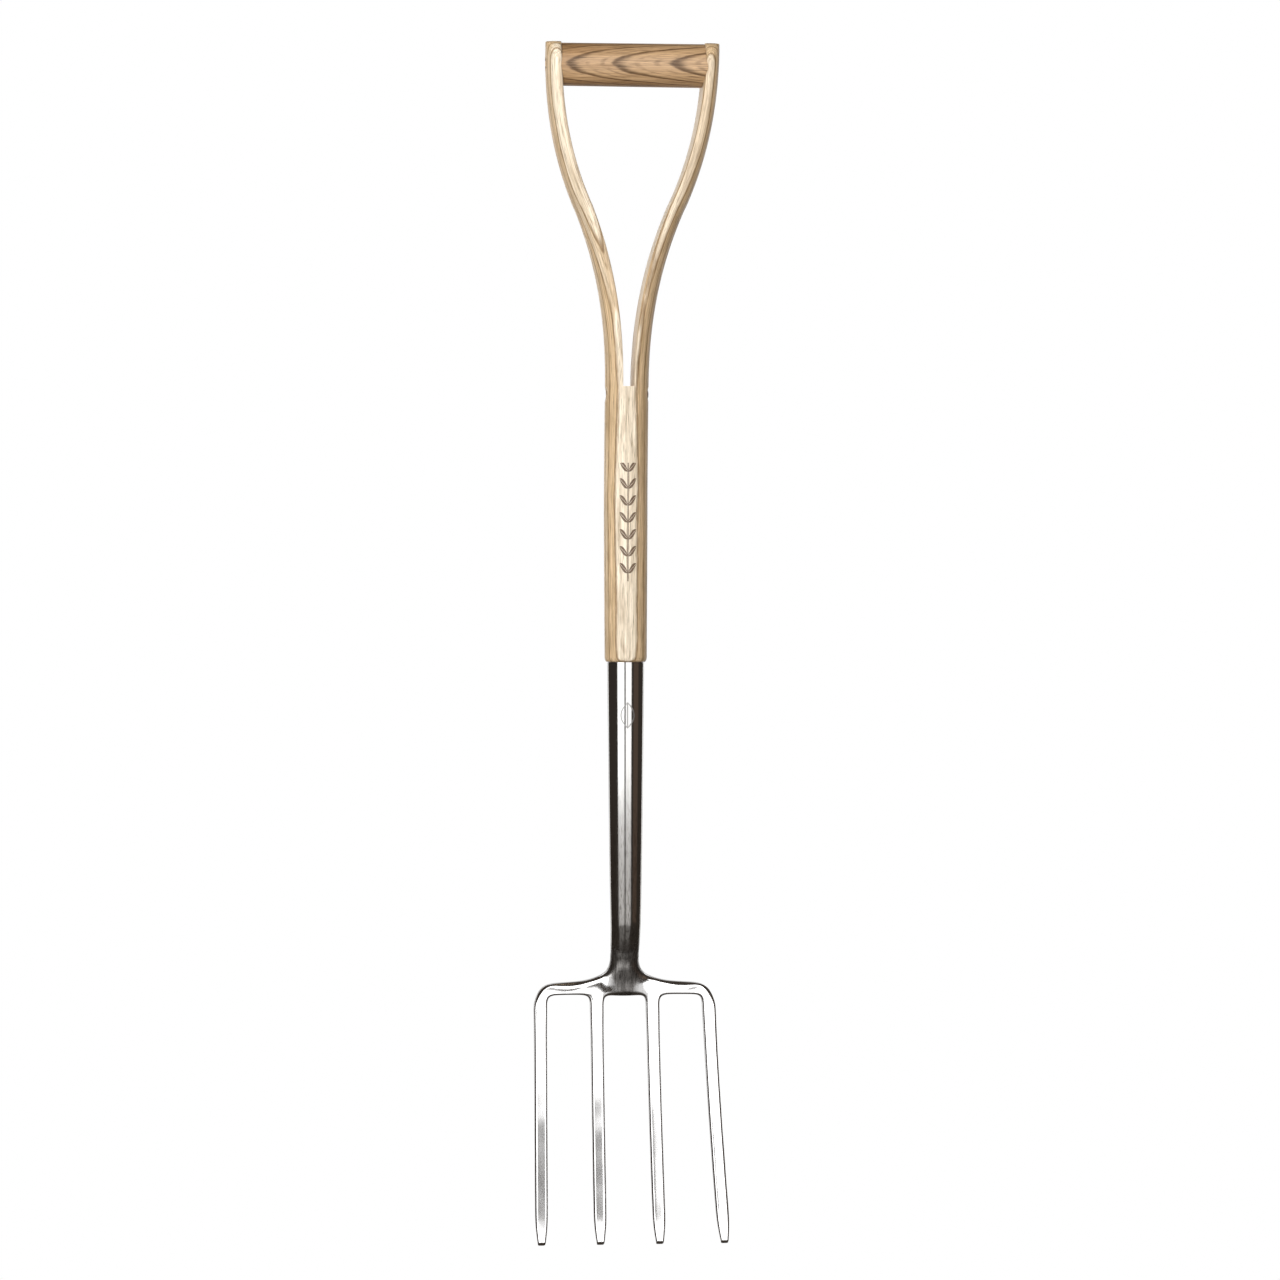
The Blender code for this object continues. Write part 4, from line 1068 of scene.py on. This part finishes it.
# ---- stage ----
def around_axis(azimuth_degrees, distance, height):
    """Point at a distance from the shaft and a height above the tips.

    The azimuth is measured from the camera's, to the right as the camera sees it.
    """
    azimuth = CAMERA_AZIMUTH + math.radians(azimuth_degrees)
    aside = Vector((math.sin(azimuth), -math.cos(azimuth), 0.0)) * distance
    return Vector((0.0, 0.0, height)) + ORIGIN + aside


def softbox(name, azimuth_from, azimuth_to, low, high, radiance, colour=(1.0, 1.0, 1.0),
            in_mirrors=True):
    """Upright soft light that fills a range of azimuths from the camera's, and of heights."""
    middle = (azimuth_from + azimuth_to) / 2
    half_angle = math.radians(azimuth_to - azimuth_from) / 2
    light = bpy.data.lights.new(name, "AREA")
    light.shape = "RECTANGLE"
    light.size = 2 * LIGHT_DISTANCE * math.tan(half_angle)
    light.size_y = high - low
    light.color = colour
    light.energy = 4 * light.size * light.size_y * radiance
    obj = bpy.data.objects.new(name, light)
    bpy.context.scene.collection.objects.link(obj)
    obj.location = around_axis(middle, LIGHT_DISTANCE, (low + high) / 2)
    inward = around_axis(middle, 0.0, (low + high) / 2) - obj.location
    obj.rotation_euler = inward.to_track_quat("-Z", "Y").to_euler()
    obj.visible_camera = False
    obj.visible_glossy = in_mirrors


def white_only(name):
    g = Graph(name)
    glow = g.node("ShaderNodeEmission", {"Color": (1.0, 1.0, 1.0), "Strength": 1.0})
    output = g.tree.nodes["Material Output"]
    g.tree.links.new(glow.outputs[0], output.inputs["Surface"])
    return g.material


def make_stage():
    """Pale floor, white surround and the lights.

    Only the camera sees the floor and the surround, so the steel mirrors nothing but the lights.
    """
    bm = bmesh.new()
    bmesh.ops.create_uvsphere(bm, u_segments=48, v_segments=24, radius=14.0)
    surround = scratch_object(mesh_from(bm, "surround"))
    surround.name = "surround"
    bm = bmesh.new()
    bmesh.ops.create_circle(bm, cap_ends=True, segments=96, radius=12.0)
    floor = scratch_object(mesh_from(bm, "floor"))
    floor.name = "floor"
    floor.location.z = CAD_BOX[0][2] - FLOOR_BELOW_TIPS
    for obj in (surround, floor):
        obj.data.materials.append(white_only(obj.name + "_white"))
        obj.visible_glossy = False
        obj.visible_diffuse = False
        obj.visible_shadow = False

    world = bpy.data.worlds.new("dim_studio")
    bpy.context.scene.world = world
    world.use_nodes = True
    background = world.node_tree.nodes["Background"]
    background.inputs["Color"].default_value = (0.046, 0.037, 0.030, 1.0)
    background.inputs["Strength"].default_value = 1.0

    # the strips that the polished steel mirrors: a main row, one above it and two below; the
    # dim boxes named gap_ stand between the main row and the upper one, which the tines mirror
    softbox("key_left", -52, -8.5, 0.29, 1.02, 1.75)
    softbox("key_middle", 0.5, 14.8, 0.29, 0.915, 1.4)
    softbox("gap_glow", 0.5, 14.8, 0.915, 1.15, 0.10)
    softbox("key_right", 14.8, 37, 0.29, 1.02, 1.4)
    softbox("gap_left", -52, -8.5, 1.02, 1.28, 0.8)
    softbox("gap_centre", -8.5, 0.5, 0.78, 1.15, 1.2)
    softbox("top_left", -52, -4, 1.28, 2.1, 2.0)
    softbox("top_middle", -4, 14.8, 1.15, 2.1, 2.0)
    softbox("top_right", 14.8, 45, 1.02, 2.1, 2.0)
    for side, start, end in (("left", -52, -8.5), ("right", 0.5, 37)):
        softbox("low_" + side, start, end, -0.25, 0.29, 0.55)
        softbox("deep_" + side, start, end, -1.4, -0.25, 0.14)
    # light for the other sides, and a brown glow for the tube's right edge
    softbox("back_left", -158, -140, 0.0, 1.6, 1.0)
    softbox("back_right", 140, 158, 0.0, 1.6, 1.0)
    softbox("back_middle", 163, 197, -0.4, 2.1, 0.4)
    softbox("brown_right", 52, 88, 0.0, 1.3, 0.05, (1.0, 0.62, 0.42))

    # broad soft light on the wood
    softbox("fill_front", -40, 40, 0.0, 2.0, 0.55, in_mirrors=False)
    softbox("fill_left", -115, -60, 0.0, 2.0, 0.9, in_mirrors=False)
    softbox("fill_back", -176, -146, 0.2, 1.5, 5.0, in_mirrors=False)


def make_camera():
    data = bpy.data.cameras.new("camera")
    data.sensor_width = 36.0
    data.lens = data.sensor_width * CAMERA_DISTANCE / VIEW_WIDTH
    data.clip_end = 60.0
    camera = bpy.data.objects.new("camera", data)
    bpy.context.scene.collection.objects.link(camera)
    low, high = CAD_BOX
    look = Vector((-math.sin(CAMERA_AZIMUTH), math.cos(CAMERA_AZIMUTH), 0.0))
    right = Vector((look.y, -look.x, 0.0))
    target = Vector((0.0, ORIGIN.y, (low[2] + high[2]) / 2 + CAMERA_ABOVE_MIDDLE))
    target += right * AXIS_LEFT_OF_CENTRE
    camera.location = target - look * CAMERA_DISTANCE
    camera.rotation_euler = look.to_track_quat("-Z", "Y").to_euler()
    bpy.context.scene.camera = camera
    bpy.context.scene.view_settings.view_transform = "Standard"


make_camera()
make_stage()
ash = wood_material(
    "oiled_ash", pith=(0.0045, 0.075, 0.0), ring=0.0046, warp=0.0050, sapwood=19.95,
    pale=(0.87, 0.755, 0.59), tan=(0.70, 0.51, 0.305), brown=(0.36, 0.225, 0.105),
    arms_from=CROTCH_Z, sprig_at=(0.572, 0.675, 0.0075))
grip_ash = wood_material(
    "oiled_ash_grip", pith=(0.0045, 0.0835, 0.0966), ring=0.0046, warp=0.0032, sapwood=22.0,
    pale=(0.52, 0.335, 0.18), tan=(0.40, 0.232, 0.108), brown=(0.155, 0.082, 0.033))
make_handle(ash)
make_grip(grip_ash)
make_tube(tube_material())
make_weld(weld_material())
make_head(head_material())
make_fasteners(rivet_material())
